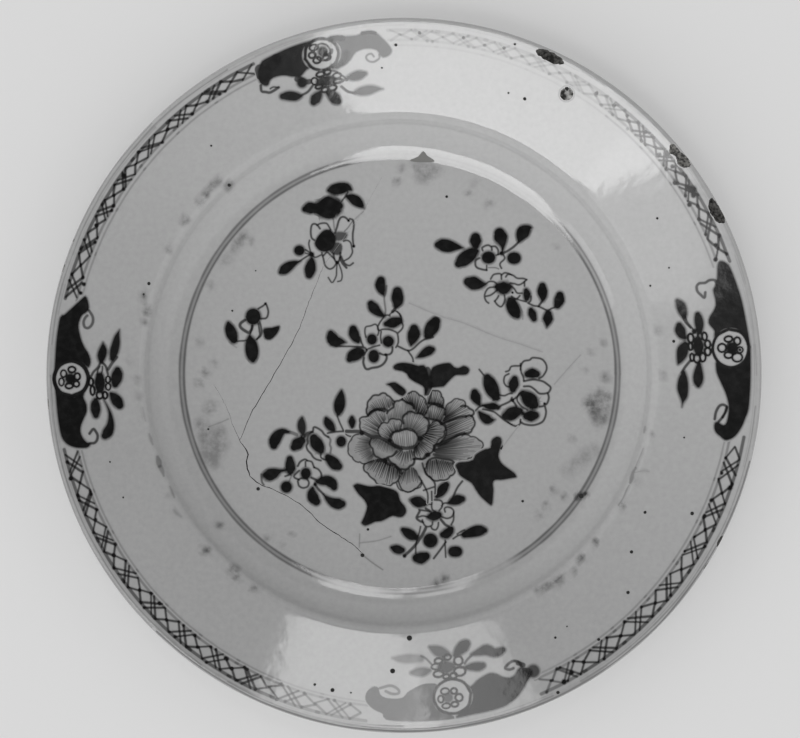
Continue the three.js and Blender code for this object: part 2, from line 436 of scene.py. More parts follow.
def broken_material(name, deep, pale, grain_size):
    """Bare porcelain in a break: matt, granular and stained by years of dirt. A real break's grain is
    finer, and is drawn this coarse so that it shows."""
    material, shader = new_material(name)
    tree = material.node_tree
    place = add_node(tree, "ShaderNodeTexCoord").outputs["Object"]
    grain = add_node(tree, "ShaderNodeTexNoise", {"Scale": 1 / grain_size, "Detail": 4}, {"Vector": place})
    spread = add_node(tree, "ShaderNodeMapRange", {"From Min": 0.38, "From Max": 0.66}, {
        "Value": grain.outputs["Fac"]})
    tone = add_node(tree, "ShaderNodeMix", {
        "data_type": "RGBA", "A": colour(deep), "B": colour(pale)}, {
        "Factor": spread.outputs["Result"]})
    tree.links.new(tone.outputs["Result"], shader.inputs["Base Color"])
    bump = add_node(tree, "ShaderNodeBump", {"Strength": 0.8, "Distance": 0.1 * mm}, {
        "Height": grain.outputs["Fac"]})
    tree.links.new(bump.outputs["Normal"], shader.inputs["Normal"])
    shader.inputs["Roughness"].default_value = 0.85
    shader.inputs["Specular IOR Level"].default_value = 0.25
    return material


def dirt_material(name, tone):
    """Old dry dirt, packed into a crack or a pit or caked on the glaze."""
    material, shader = new_material(name)
    shader.inputs["Base Color"].default_value = colour(tone)
    shader.inputs["Roughness"].default_value = 0.9
    return material


def foot_material():
    """The foot's edge, wiped free of glaze before firing and worn grey by the tables it stood on."""
    material, shader = new_material("unglazed foot edge")
    tree = material.node_tree
    place = add_node(tree, "ShaderNodeTexCoord").outputs["Object"]
    grain = add_node(tree, "ShaderNodeTexNoise", {"Scale": 1 / foot_grain, "Detail": 4}, {"Vector": place})
    tone = add_node(tree, "ShaderNodeMix", {
        "data_type": "RGBA", "A": colour("#6f6e6b"), "B": colour("#a8a6a2")}, {
        "Factor": grain.outputs["Fac"]})
    tree.links.new(tone.outputs["Result"], shader.inputs["Base Color"])
    shader.inputs["Roughness"].default_value = 0.8
    return material


breaks = {
    "black": broken_material("black stained bare porcelain", "#171716", "#565553", break_grain),
    "grey": broken_material("grey stained bare porcelain", "#2e2e2d", "#807f7c", break_grain),
    "bubble": broken_material("body under a burst bubble", "#262625", "#b8b8b6", bubble_grain),
}
crack_dirt = dirt_material("dirt in cracks and pits", "#1b1b1a")
caked_dirt = dirt_material("caked dirt", "#737371")


def scoop_cutter(chip, rough):
    """A lumpy ball of the chip's size where the chip is. The rough texture makes its face uneven."""
    radius = rim_radius - chip["inset"]
    height = marly_end[1] - (marly_end[0] - min(radius, marly_end[0])) * math.tan(marly_slope)
    turn = math.radians(chip["turn"])
    bpy.ops.mesh.primitive_ico_sphere_add(subdivisions=5, radius=1)
    cutter = bpy.context.object
    cutter.scale = (chip["breadth"] / 2 * mm, chip["length"] / 2 * mm, chip["depth"] * mm)
    bpy.ops.object.transform_apply(location=False, rotation=False, scale=True)
    uneven = cutter.modifiers.new("uneven", "DISPLACE")
    uneven.texture = rough
    uneven.texture_coords = "GLOBAL"
    roughness = bubble_roughness if chip["stain"] == "bubble" else chip_roughness
    uneven.strength = roughness * chip["breadth"] * mm
    uneven.mid_level = lump_level
    cutter.rotation_euler = (0, -marly_slope, turn)
    cutter.location = (radius * math.cos(turn) * mm, radius * math.sin(turn) * mm, height * mm)
    bpy.ops.object.modifier_apply(modifier="uneven")
    bpy.ops.object.transform_apply(location=True, rotation=True, scale=False)
    cutter.data.materials.append(breaks[chip["stain"]])
    return cutter


def crack_cutter(points):
    """A wedge along the crack that wanders a little."""
    path = [np.array(points[0])]
    for start, stop in zip(points, points[1:]):
        path += stretch(np.array(start), np.array(stop), crack_steps)[1:]
    path = np.array(path)
    ahead = np.gradient(path[:, :2], axis=0)
    ahead /= np.linalg.norm(ahead, axis=1)[:, None]
    side = np.stack([-ahead[:, 1], ahead[:, 0]], 1)
    corners = []
    for middle, across, wide in zip(path[:, :2] + well_offset, side, path[:, 2]):
        wide *= chance.uniform(0.75, 1.2)
        middle = middle + across * chance.uniform(-crack_wander, crack_wander)
        flare = wide / 2 * (1 + crack_reach / crack_depth)
        for offset, height in ((flare, crack_reach), (-flare, crack_reach), (0, -crack_depth)):
            corners.append((*((middle + across * offset) * mm), (well_height + height) * mm))
    faces = [(0, 2, 1)]
    for k in range(0, len(corners) - 3, 3):
        faces += [(k, k + 1, k + 4, k + 3), (k + 1, k + 2, k + 5, k + 4), (k + 2, k, k + 3, k + 5)]
    last = len(corners) - 3
    faces.append((last, last + 1, last + 2))
    mesh = bpy.data.meshes.new("crack")
    mesh.from_pydata(corners, [], faces)
    mesh.materials.append(crack_dirt)
    cutter = bpy.data.objects.new("crack", mesh)
    bpy.context.scene.collection.objects.link(cutter)
    return cutter


def cut_away(cutters):
    """Takes the cutters out of the plate, which keeps their material on the cut faces."""
    bpy.ops.object.select_all(action="DESELECT")
    for cutter in cutters:
        cutter.select_set(True)
    bpy.context.view_layer.objects.active = cutters[0]
    bpy.ops.object.join()
    bpy.ops.object.mode_set(mode="EDIT")
    bpy.ops.mesh.select_all(action="SELECT")
    bpy.ops.mesh.normals_make_consistent(inside=False)
    bpy.ops.object.mode_set(mode="OBJECT")
    bpy.ops.object.select_all(action="DESELECT")
    plate.select_set(True)
    bpy.context.view_layer.objects.active = plate
    cut = plate.modifiers.new("cut", "BOOLEAN")
    cut.operation = "DIFFERENCE"
    cut.solver = "MANIFOLD"
    cut.material_mode = "TRANSFER"
    cut.object = cutters[0]
    bpy.ops.object.modifier_apply(modifier="cut")
    bpy.data.objects.remove(cutters[0])


for slot_material in (glaze_material("glazed porcelain"), foot_material()):
    plate.data.materials.append(slot_material)
for polygon in plate.data.polygons:
    on_foot = math.hypot(polygon.center.x, polygon.center.y) < 80 * mm
    polygon.material_index = int(on_foot and polygon.center.z < 0.6 * foot_rounding * mm)
lumpy = bpy.data.textures.new("uneven break", "CLOUDS")
lumpy.noise_scale = lump_size
lumpy.noise_depth = 2
scoops = [scoop_cutter(chip, lumpy) for chip in chips]
cut_away(scoops[0::2] + [crack_cutter(main_crack)])
cut_away(scoops[1::2] + [crack_cutter(branch_crack)])
bpy.ops.object.shade_smooth_by_angle(angle=sharpest_smooth)

# A flat picture of the plate: its face fills most of the square and its underside lies in a corner. Each
# has the place of its middle along both sides, and its half width there.
face_picture = (0.41, 0.4)
underside_picture = (0.85, 0.14)
lip_bottom = 20 * mm
flat_map = plate.data.uv_layers.new(name="OFBake")
for polygon in plate.data.polygons:
    shown = polygon.normal.z > 0 or polygon.center.z > lip_bottom
    middle, size = face_picture if shown else underside_picture
    for k in polygon.loop_indices:
        place = plate.data.vertices[plate.data.loops[k].vertex_index].co
        flat_map.data[k].uv = [middle + size * c / (rim_radius * mm) for c in (place.x, place.y)]
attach(plate, "root")
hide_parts("porcelain_plate")


# Brush painting under the glaze, done by hand in one dark pigment. Each motif is a thin sheet that lies on
# the plate and holds its strokes' ink. A stroke is a line with a width at each point, and its edges run a
# little into the glaze. Sheets that cross lie at different heights, so that they never share a plane.
sheet_lift = 0.04
upper_lift = 0.06
edge_softness = 0.4
pooled_softness = 0.3
bleed = 0.12
full_ink = 0.995
line_ink = 0.85
faintest_ink = 0.004
fine_line = 1.2
fine_spacing = 0.45
wide_spacing = 0.9
edge_spacing = 1.2
least_gap = 0.012
least_width = 0.05
least_core = 0.02
box_margin = 0.01
round_dot = 0.1


def leaf(*points, ink=full_ink, soft=None):
    """One loaded stroke, as (x, y, width) points along its middle. A wide one is paler at its edge."""
    widest = max(p[2] for p in points)
    soft = soft or edge_softness + pooled_softness * min(2, max(0, widest - 1))
    return {"points": points, "ink": ink, "soft": soft}


def line(width, *points, ink=line_ink, soft=edge_softness):
    """A drawn line of one width, which bleeds a little into the glaze."""
    middle = [(x, y, width + bleed) for x, y in points]
    return leaf(*middle, ink=ink, soft=soft)


def dot(x, y, across, up=None, ink=full_ink, soft=None):
    """A round dab, or one that is wider than it is high."""
    up = up or across
    if abs(across - up) < round_dot:
        return leaf((x - 0.02, y, across), (x + 0.02, y, across), ink=ink, soft=soft)
    long, short = max(across, up), min(across, up)
    reach = (long - short) / 2
    right, rise = (reach, 0) if across > up else (0, reach)
    return leaf((x - right, y - rise, short), (x, y, short * 1.04), (x + right, y + rise, short),
                ink=ink, soft=soft)


def patch(*points, ink=full_ink, soft=0.8):
    """A filled shape, as points along its edge."""
    return {"outline": points, "ink": ink, "soft": soft}


def curve_through(points, spacing, closed=False):
    """Points close together on a smooth curve through the given ones."""
    given = np.array(points, float)
    count = len(given)
    if closed:
        ends = given[[-1]], given[[0, 1]]
    else:
        ends = given[[0]] * 2 - given[[1]], given[[-1]] * 2 - given[[-2]]
    whole = np.vstack([ends[0], given, ends[1]])
    found = []
    for k in range(count if closed else count - 1):
        a, b, c, d = whole[k:k + 4]
        steps = max(2, math.ceil(np.linalg.norm((c - b)[:2]) / spacing))
        t = (np.arange(steps) / steps)[:, None]
        found.append(0.5 * (2 * b + (c - a) * t + (2 * a - 5 * b + 4 * c - d) * t ** 2
                            + (3 * b - a - 3 * c + d) * t ** 3))
    if not closed:
        found.append(given[[-1]])
    return np.vstack(found)


def around(middle, half):
    """The outline at that half width round a stroke's middle line, with round ends."""
    ahead = np.gradient(middle[:, :2], axis=0)
    ahead /= np.maximum(np.linalg.norm(ahead, axis=1), 1e-9)[:, None]
    side = np.stack([-ahead[:, 1], ahead[:, 0]], 1)
    bends = (-54, -18, 18, 54) if half.max() < 0.7 else range(-75, 76, 15)
    cap = [math.radians(a) for a in bends]
    left = middle[:, :2] + side * half[:, None]
    right = middle[:, :2] - side * half[:, None]
    front = [middle[-1, :2] + half[-1] * (ahead[-1] * math.cos(a) - side[-1] * math.sin(a)) for a in cap]
    back = [middle[0, :2] + half[0] * (-ahead[0] * math.cos(a) + side[0] * math.sin(a)) for a in cap]
    return np.vstack([left, front, right[::-1], back])


def spread_of(stroke, at):
    """How much of a stroke's ink each (x, y) gets: 1 inside it, 0 past its soft edge."""
    soft = stroke["soft"]
    if "outline" in stroke:
        edge = stroke["curve"]
        after = np.roll(edge, -1, axis=0)
        inside = np.zeros(len(at), bool)
        nearest = np.full(len(at), 1e9)
        for a, b in zip(edge, after):
            nearest = np.minimum(nearest, distance_to(at, a, b)[0])
            crosses = (a[1] > at[:, 1]) != (b[1] > at[:, 1])
            where = (b[0] - a[0]) * (at[:, 1] - a[1]) / (b[1] - a[1] + 1e-12) + a[0]
            inside ^= crosses & (at[:, 0] < where)
        return np.clip(0.5 + np.where(inside, nearest, -nearest) / soft, 0, 1)
    middle = stroke["curve"]
    most = np.zeros(len(at))
    for a, b in zip(middle, middle[1:]):
        away, share = distance_to(at, a[:2], b[:2])
        half = (a[2] + (b[2] - a[2]) * share) / 2
        most = np.maximum(most, np.clip((half + soft / 2 - away) / soft, 0, 1))
    return most


def distance_to(at, a, b):
    """The distance of each point from the stretch a to b, and the share of the way along it."""
    span = b - a
    share = np.clip((at - a) @ span / max(span @ span, 1e-12), 0, 1)
    return np.linalg.norm(at - a - share[:, None] * span, axis=1), share


def prepare(stroke):
    """Adds the stroke's smooth curve, its reach and the two outlines between which its ink fades."""
    soft = stroke["soft"]
    if "outline" in stroke:
        stroke["curve"] = curve_through(stroke["outline"], edge_spacing, closed=True)
        curve = stroke["curve"]
        ahead = np.roll(curve, -1, axis=0) - np.roll(curve, 1, axis=0)
        ahead /= np.linalg.norm(ahead, axis=1)[:, None]
        area = np.sum(curve[:, 0] * np.roll(curve[:, 1], -1) - np.roll(curve[:, 0], -1) * curve[:, 1])
        outward = np.stack([ahead[:, 1], -ahead[:, 0]], 1) * math.copysign(1, area)
        stroke["rings"] = [curve + outward * soft / 2, curve - outward * soft / 2]
    else:
        widest = max(p[2] for p in stroke["points"])
        fine = widest < fine_line and 2 < len(stroke["points"]) < 16
        curve = curve_through(stroke["points"], fine_spacing if fine else wide_spacing)
        curve[:, 2] = np.maximum(curve[:, 2], least_width)
        stroke["curve"] = curve
        half = curve[:, 2] / 2
        core = np.maximum(half - soft / 2, least_core)
        stroke["rings"] = [around(curve, half + soft / 2), around(curve, core)]
    reach = np.vstack(stroke["rings"])
    stroke["box"] = reach.min(0) - box_margin, reach.max(0) + box_margin
    return stroke


def ink_at(strokes, at):
    """The ink that all the strokes leave at each (x, y), where crossings are darker than either stroke."""
    bare = np.ones(len(at))
    for stroke in strokes:
        low, high = stroke["box"]
        near = ((at >= low) & (at <= high)).all(1)
        if near.any():
            bare[near] *= 1 - stroke["ink"] * spread_of(stroke, at[near])
    return 1 - bare


def on_well(strokes):
    """The strokes moved from the well's centre to the rim's."""
    def moved(points):
        return [(p[0] + well_offset[0], p[1] + well_offset[1], *p[2:]) for p in points]
    return [{**s, **{key: moved(s[key]) for key in ("points", "outline") if key in s}} for s in strokes]


def on_rim(strokes):
    """The strokes turned from (degrees from the right, radius) about the rim's centre to (x, y)."""
    def turned(points):
        return [(p[1] * math.cos(math.radians(p[0])), p[1] * math.sin(math.radians(p[0])), *p[2:])
                for p in points]
    return [{**s, **{key: turned(s[key]) for key in ("points", "outline") if key in s}} for s in strokes]


def inked_triangles(strokes, gaps):
    """The (x, y) points and upward triangles that cover the strokes' ink but not the gaps."""
    rings = [ring for stroke in strokes for ring in stroke["rings"]] + [gap["rings"][0] for gap in gaps]
    corners = [Vector(p) for ring in rings for p in ring]
    edges = []
    for ring in rings:
        first = len(edges)
        edges += [(first + k, first + (k + 1) % len(ring)) for k in range(len(ring))]
    found = delaunay_2d_cdt(corners, edges, [], 0, least_gap, False)
    at = np.array([list(p) for p in found[0]], float)
    faces = np.array(found[2], int)
    middles = at[faces].mean(1)
    kept = faces[(ink_at(strokes, middles) > faintest_ink) & (ink_at(gaps, middles) < 0.5)]
    used = np.unique(kept)
    renumber = np.zeros(len(at), int)
    renumber[used] = np.arange(len(used))
    kept = renumber[kept]
    at = at[used]
    one = at[kept[:, 1]] - at[kept[:, 0]]
    two = at[kept[:, 2]] - at[kept[:, 0]]
    turned = one[:, 0] * two[:, 1] - one[:, 1] * two[:, 0] < 0
    kept[turned] = kept[turned][:, ::-1]
    return at, kept


painted_glaze = glaze_material("brush painting under the glaze")


def painted_sheet(name, strokes, gaps=(), glare_fade=(), lift=sheet_lift, material=painted_glaze):
    """A thin sheet on the glaze that holds the strokes. It is open where a gap, such as a chip, lies under
    it, and glare_fade takes away a share of its ink, as a painted highlight where the lamps' glare falls."""
    strokes = [prepare(dict(stroke)) for stroke in strokes]
    gaps = [prepare({**gap, "ink": 1, "soft": 0.02}) for gap in gaps]
    glare_fade = [prepare(dict(stroke)) for stroke in glare_fade]
    at, triangles = inked_triangles(strokes, gaps)
    mesh = bpy.data.meshes.new(name)
    mesh.from_pydata(np.column_stack([at, glaze_height(at) + lift]) * mm, [], triangles.tolist())
    sheet = bpy.data.objects.new(name, mesh)
    bpy.context.scene.collection.objects.link(sheet)
    ink = ink_at(strokes, at) * (1 - ink_at(glare_fade, at))
    mesh.attributes.new("ink", "FLOAT", "POINT").data.foreach_set("value", ink)
    mesh.attributes.new("grime", "FLOAT", "POINT").data.foreach_set("value", grime_at(at))
    flat_map = mesh.uv_layers.new(name="OFBake")
    span = at.max(0) - at.min(0)
    corner_of = np.zeros(len(mesh.loops), int)
    mesh.loops.foreach_get("vertex_index", corner_of)
    flat_map.uv.foreach_set("vector", (0.01 + 0.98 * (at - at.min(0)) / span)[corner_of].ravel())
    mesh.polygons.foreach_set("use_smooth", [True] * len(mesh.polygons))
    mesh.normals_split_custom_set_from_vertices(glaze_normal(at))
    mesh.materials.append(material)
    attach(sheet, "root")


# Smudges. Years of dirt have settled on the glaze, most of it along the well's edge. It darkens the colour
# of the glaze and of the painting, so it needs no sheet of its own. A spot is (x, y, size, strength) from
# the well's centre or (turn, radius, size, strength) from the rim's.
smudge_core = 0.6
smudge_fade = 0.7
smudge_gain = 1.6
grime_gain = 1.5
upper_reach = 0.3


def smudge(x, y, across, ink):
    """A round smudge with a small core that fades out towards its edge."""
    return dot(x, y, across * smudge_core, ink=min(0.95, smudge_gain * ink), soft=across * smudge_fade)


well_spots = [
    (-0.4, 62.2, 3, 0.35), (1.3, 66.5, 3, 0.3), (29.4, 55, 3, 0.3), (-62, -12, 4, 0.25),
    (56.5, -21.2, 2.4, 0.35), (62.5, -10, 3, 0.22), (64, -12, 3, 0.2), (67.5, -1.5, 4, 0.3),
    (-62.5, 0, 3, 0.35), (-65, -3.5, 3, 0.35), (-48, 43, 3, 0.3), (-61, 28.5, 3, 0.2), (-64.5, 10, 3, 0.2),
    (-60, 3.5, 3, 0.2), (12.3, -68.7, 3, 0.6), (15.1, -67, 3, 0.5), (50.5, -38, 3, 0.35),
    (54, -40.2, 3, 0.3), (48, -43, 3, 0.3), (46, -46.5, 3, 0.25), (22.8, 58.6, 2.4, 0.25),
    (24.7, 61.7, 2.2, 0.2), (51.6, 41.1, 2.2, 0.22), (62.8, 6.7, 2.4, 0.25), (60.9, 1, 2.4, 0.2),
    (67, 9.8, 2.4, 0.3), (65.9, -5.9, 2.4, 0.25), (-42.6, -53.6, 2.4, 0.3), (-34.5, -52.4, 2.2, 0.25),
    (-38, -56, 2.2, 0.22), (-60.8, -10.5, 4, 0.25), (-54.6, 60.7, 3.5, 0.5), (-58.4, 61.9, 3, 0.4),
    (-60.3, 60, 3, 0.4), (-62, 58, 3, 0.4), (-64, 55.5, 3, 0.4), (-69, 49.5, 3, 0.4),
    (-53, -63.5, 3.5, 0.6), (-51.7, -66.2, 2.5, 0.5), (-62, -57.2, 3, 0.45), (-58, -49.4, 3, 0.4),
    (-46.3, -69.5, 3, 0.4), (63.7, -54.7, 2.6, 0.85), (59, -60, 3, 0.6), (57, -63.6, 2.2, 0.9),
    (52, -67.3, 2.4, 0.9), (72.2, -42.5, 3, 0.6), (-82.3, 23.7, 3, 0.2), (-73.5, -39.7, 3, 0.15),
    (-61.8, -57, 3, 0.25), (83.6, 13.9, 3, 0.25), (85.2, -0.7, 2.6, 0.35), (82, -20.2, 2, 0.3),
    (77.1, -34.9, 3, 0.2),
]
well_smears = [
    patch((4.9, 69), (14.5, 66.5), (13, 64.5), (10, 62), (7, 62), (5, 64), ink=0.3, soft=2.5),
    patch((60.5, -8), (64, -6), (69, -6.5), (69.3, -10), (68, -16), (64, -17.5), (62.5, -14),
          (60.5, -11), ink=0.42, soft=1.8),
    leaf((55, -32, 3), (60, -28, 4.5), (64, -25, 3), ink=0.25, soft=3),
    patch((-66, -16), (-63, -15), (-61, -18), (-57, -17), (-55.5, -24), (-58, -29),
          (-58.5, -31), (-62, -31), (-64, -27), (-65, -22), ink=0.32, soft=2.5),
    leaf((-57, 36, 2), (-55, 37.5, 3), (-54, 39, 2), ink=0.25, soft=2),
    leaf((-53, 41, 2), (-51.5, 43, 3.4), (-50, 45, 2), ink=0.4, soft=2),
    leaf((57.8, -40.6, 1.6), (59.5, -40, 2.4), (61.2, -39.4, 1.4), ink=0.95, soft=0.8),
    leaf((53, -66, 1.4), (49, -68.4, 2.2), (45, -70, 1.4), ink=0.5, soft=1.6),
]
rim_spots = [
    (144.5, 86, 3, 0.25), (137.5, 86, 2.4, 0.22), (134, 86, 2.4, 0.2), (139.5, 85.6, 2.4, 0.2),
    (166, 85.6, 3.5, 0.45), (168.5, 85.4, 2.5, 0.3), (151.8, 86.2, 3, 0.3), (181, 86, 3, 0.2),
    (184.5, 85.6, 2.5, 0.2), (162.7, 88, 2.4, 0.4), (177, 88.6, 2.4, 0.2),
]
smudges = on_well([smudge(*spot) for spot in well_spots] + well_smears)
smudges += on_rim([smudge(*spot) for spot in rim_spots])
smudges = [prepare(stroke) for stroke in smudges]


def grime_at(at):
    """How thick the dirt is at each (x, y), from 0 to 1."""
    return np.minimum(1, grime_gain * ink_at(smudges, at))


places = np.array([vertex.co for vertex in plate.data.vertices]) / mm
upper = places[:, 2] > glaze_height(places[:, :2]) - upper_reach
grime = np.where(upper, grime_at(places[:, :2]), 0)
plate.data.attributes.new("grime", "FLOAT", "POINT").data.foreach_set("value", grime)


# Ring lines, banded with a brush at the well's edge while the plate turned on a wheel: two that touch in a
# paler band. Their ink is made fainter at the top and the bottom, where the lamps' glare falls on them,
# as a painted highlight.
ring_offset = (0.55, -0.3)


def ring_line(radius, width, ink, soft=0.5):
    """A brushed circle whose width wavers."""
    turn = [math.radians(a) for a in range(0, 361, 4)]
    middle = [(ring_offset[0] + radius * math.cos(a), ring_offset[1] + radius * math.sin(a),
               width * chance.uniform(0.8, 1.2)) for a in turn]
    return leaf(*middle, ink=ink, soft=soft)


def ring_sector(start, stop, ink, soft):
    """A patch over a stretch of the ring."""
    turn = [math.radians(a) for a in np.linspace(start, stop, 7)]
    outer, inner = ([(radius * math.cos(a), radius * math.sin(a)) for a in turn] for radius in (78, 62))
    return patch(*outer, *inner[::-1], ink=ink, soft=soft)


ring_lines = [ring_line(70.15, 0.7, 0.52), ring_line(71.55, 0.65, 0.45), ring_line(70.85, 1.9, 0.36, 0.7)]
# Painted highlight: these patches take ink away where the lamps' glare falls on the ring lines
ring_glare_fade = [ring_sector(46, 100, 0.85, 7), ring_sector(252, 266, 0.8, 6), ring_sector(284, 302, 0.8, 6)]
painted_sheet("well_ring_lines", on_well(ring_lines), glare_fade=on_well(ring_glare_fade))


# Sprays and sprigs. Flowers, buds and leaves round the peony, brushed in loaded dabs for petals and leaves
# and fine lines for stems. Points are in millimetres from the well's centre. A crack crosses two of them.
sprays = {}
sprays["upper_left_spray"] = [
    leaf((-22.6, 59.3, 1.6), (-21.2, 59.6, 3.7), (-18.6, 60, 4.3), (-16.6, 60.3, 3.2), (-15.2, 59.5, 1.2)),
    leaf((-16.4, 57.3, 1.8), (-15.2, 56.9, 3.2), (-13.6, 55.9, 3.9), (-12.2, 54.7, 2.8), (-11, 53.5, 0.6)),
    leaf((-30.3, 53.2, 2.4), (-28.8, 53.6, 4.3), (-26.6, 53.5, 3.8), (-24.4, 53.5, 6.6),
         (-22.2, 53.8, 7.9), (-20.2, 54.2, 5.2), (-18.9, 54.3, 2.6)),
    line(0.4, (-16.3, 58.7), (-18.7, 55.2)),
    line(0.4, (-21.1, 50.4), (-20.7, 46.5), ink=0.5),
    line(0.4, (-11.4, 52.4), (-14, 50), ink=0.3),
    patch((-27.3, 42), (-26.8, 43.6), (-25.6, 45.3), (-24.1, 46.6), (-22.3, 46.7), (-20.8, 45.6),
          (-20.1, 43.7), (-20.5, 41.5), (-21.5, 40), (-23.2, 39.2), (-25.2, 39.4), (-26.6, 40.5)),
    patch((-20.3, 45.8), (-16.6, 45.6), (-16.7, 43.8), (-18.4, 43), (-20.3, 43), ink=0.82, soft=0.8),
    patch((-20.7, 42.4), (-18.4, 42), (-18.1, 40.2), (-18.9, 38.4), (-20.7, 38.4), (-22.2, 39.3), ink=0.85,
          soft=0.6),
    line(0.55, (-27.3, 43.2), (-28.1, 43.9), (-28.4, 45.7), (-28.2, 47.6), (-27.6, 48.4), (-26.4, 48.2),
         (-25.4, 46.9)),
    line(0.5, (-26.4, 48), (-25.1, 48.6), (-23.3, 48.6), (-22.4, 47.4), (-21.9, 46.5)),
    line(0.6, (-20.5, 45.5), (-19.8, 47.6), (-19.3, 49.4), (-18.6, 50.5), (-17.6, 50.7), (-16.6, 50.1),
         (-16.1, 49.4)),
    dot(-16.1, 49.5, 0.9),
    line(0.55, (-15.7, 50.1), (-14.6, 49.6), (-14.4, 47.6), (-14.7, 45.4), (-14.7, 43.1), (-14.4, 41)),
    dot(-14.4, 41.2, 1),
    line(0.3, (-14.8, 49.4), (-16.3, 47.2), (-17.4, 46.1), ink=0.6),
    line(0.45, (-17.7, 42.8), (-16.6, 43.1), (-15.5, 42.4), (-15, 40.5), (-14.9, 39), (-15.9, 37.4),
         (-17.4, 36.5)),
    line(0.5, (-24.8, 39), (-24.2, 36.8), (-23.7, 34.9), (-22.4, 33.8), (-21.1, 34.2), (-20.1, 35.5)),
    line(0.5, (-24.4, 38), (-23.1, 39.2), (-22.2, 38.5), (-20.7, 37)),
    line(0.45, (-28.8, 43.1), (-29, 41.7), (-28.3, 39.1), (-27, 37.6), (-25.1, 38.3)),
    dot(-28.1, 38.5, 1.8),
    dot(-19.8, 35.9, 1.2),
    line(0.4, (-19.8, 35.9), (-20, 33.4), (-20.1, 31.6), (-20.9, 29.9), (-21.6, 29.4), (-22.7, 31)),
    line(0.4, (-19.2, 35.3), (-18.5, 33.4), (-18.2, 31.6), (-18.5, 30.1), (-19.6, 29.7)),
    line(0.7, (-18.9, 37.5), (-18.1, 35.7), (-16.8, 34.2)),
    line(0.5, (-18.5, 37.9), (-17.4, 35.7), (-15.9, 34.9), (-14.6, 35.7)),
    line(0.6, (-21.1, 39), (-20.7, 37.1), (-20, 35.7)),
    line(0.6, (-18.7, 39), (-19, 37.1), (-19.6, 35.7)),
    dot(-32.1, 39.8, 4, 3.7),
    line(0.5, (-30, 40), (-28.4, 38.9)),
    line(0.4, (-30, 38.9), (-28.1, 38.4)),
    line(0.5, (-32.2, 36.2), (-29.6, 37.9), (-28.1, 38.6)),
    leaf((-31.6, 36.3, 0.5), (-33.6, 35.7, 2.2), (-35.6, 34.6, 3.6), (-37.2, 33.4, 3.6),
         (-38.2, 32.7, 1.8)),
    leaf((-28, 37.6, 0.9), (-28.2, 36, 3), (-28.6, 33.6, 4.2), (-28.9, 31.9, 3)),
]

sprays["left_sprig"] = [
    dot(-47.1, 18.3, 5.3, 5.8),
    line(0.55, (-45.4, 20.9), (-43.9, 21.8), (-43.1, 22.5)),
    dot(-43.1, 22.5, 0.9),
    line(0.55, (-43.1, 22.5), (-42.6, 21.6), (-42.2, 19.7), (-42.8, 17.9), (-44.5, 17.6)),
    line(0.9, (-49.9, 17.1), (-51.1, 16.2), (-51.4, 15.3), (-50.8, 14.4), (-49.3, 13.4), (-48.4, 13.1),
         (-47.6, 14.2), (-47.4, 15.3)),
    line(0.5, (-47.4, 15.3), (-47.8, 13.4), (-48.3, 12)),
    line(0.5, (-45.4, 16), (-45.1, 13.8), (-45, 12.3), (-46, 10.9)),
    line(0.5, (-44.9, 16.4), (-44.5, 14.6), (-44.5, 12.3), (-45.8, 11)),
    leaf((-55.2, 16.2, 1.6), (-54.8, 14.6, 3.6), (-54, 12.4, 4.2), (-53.4, 10.8, 3)),
    leaf((-48.2, 11.6, 1.8), (-47.8, 9.6, 4.2), (-47.5, 7, 4.8), (-47.3, 5, 3.8), (-47.2, 4.2, 2.2)),
    patch((-44.1, 13.8), (-43.4, 14.7), (-41.1, 14.9), (-38.6, 15.5), (-38.4, 14.2), (-39.7, 12),
          (-41.5, 10.6), (-43.4, 11), (-43.9, 12.7)),
    line(0.45, (-52.3, 10.3), (-49.3, 10.5)),
    line(0.4, (-54.9, 9.9), (-53.7, 9), (-52.6, 8.3), ink=0.3),
]

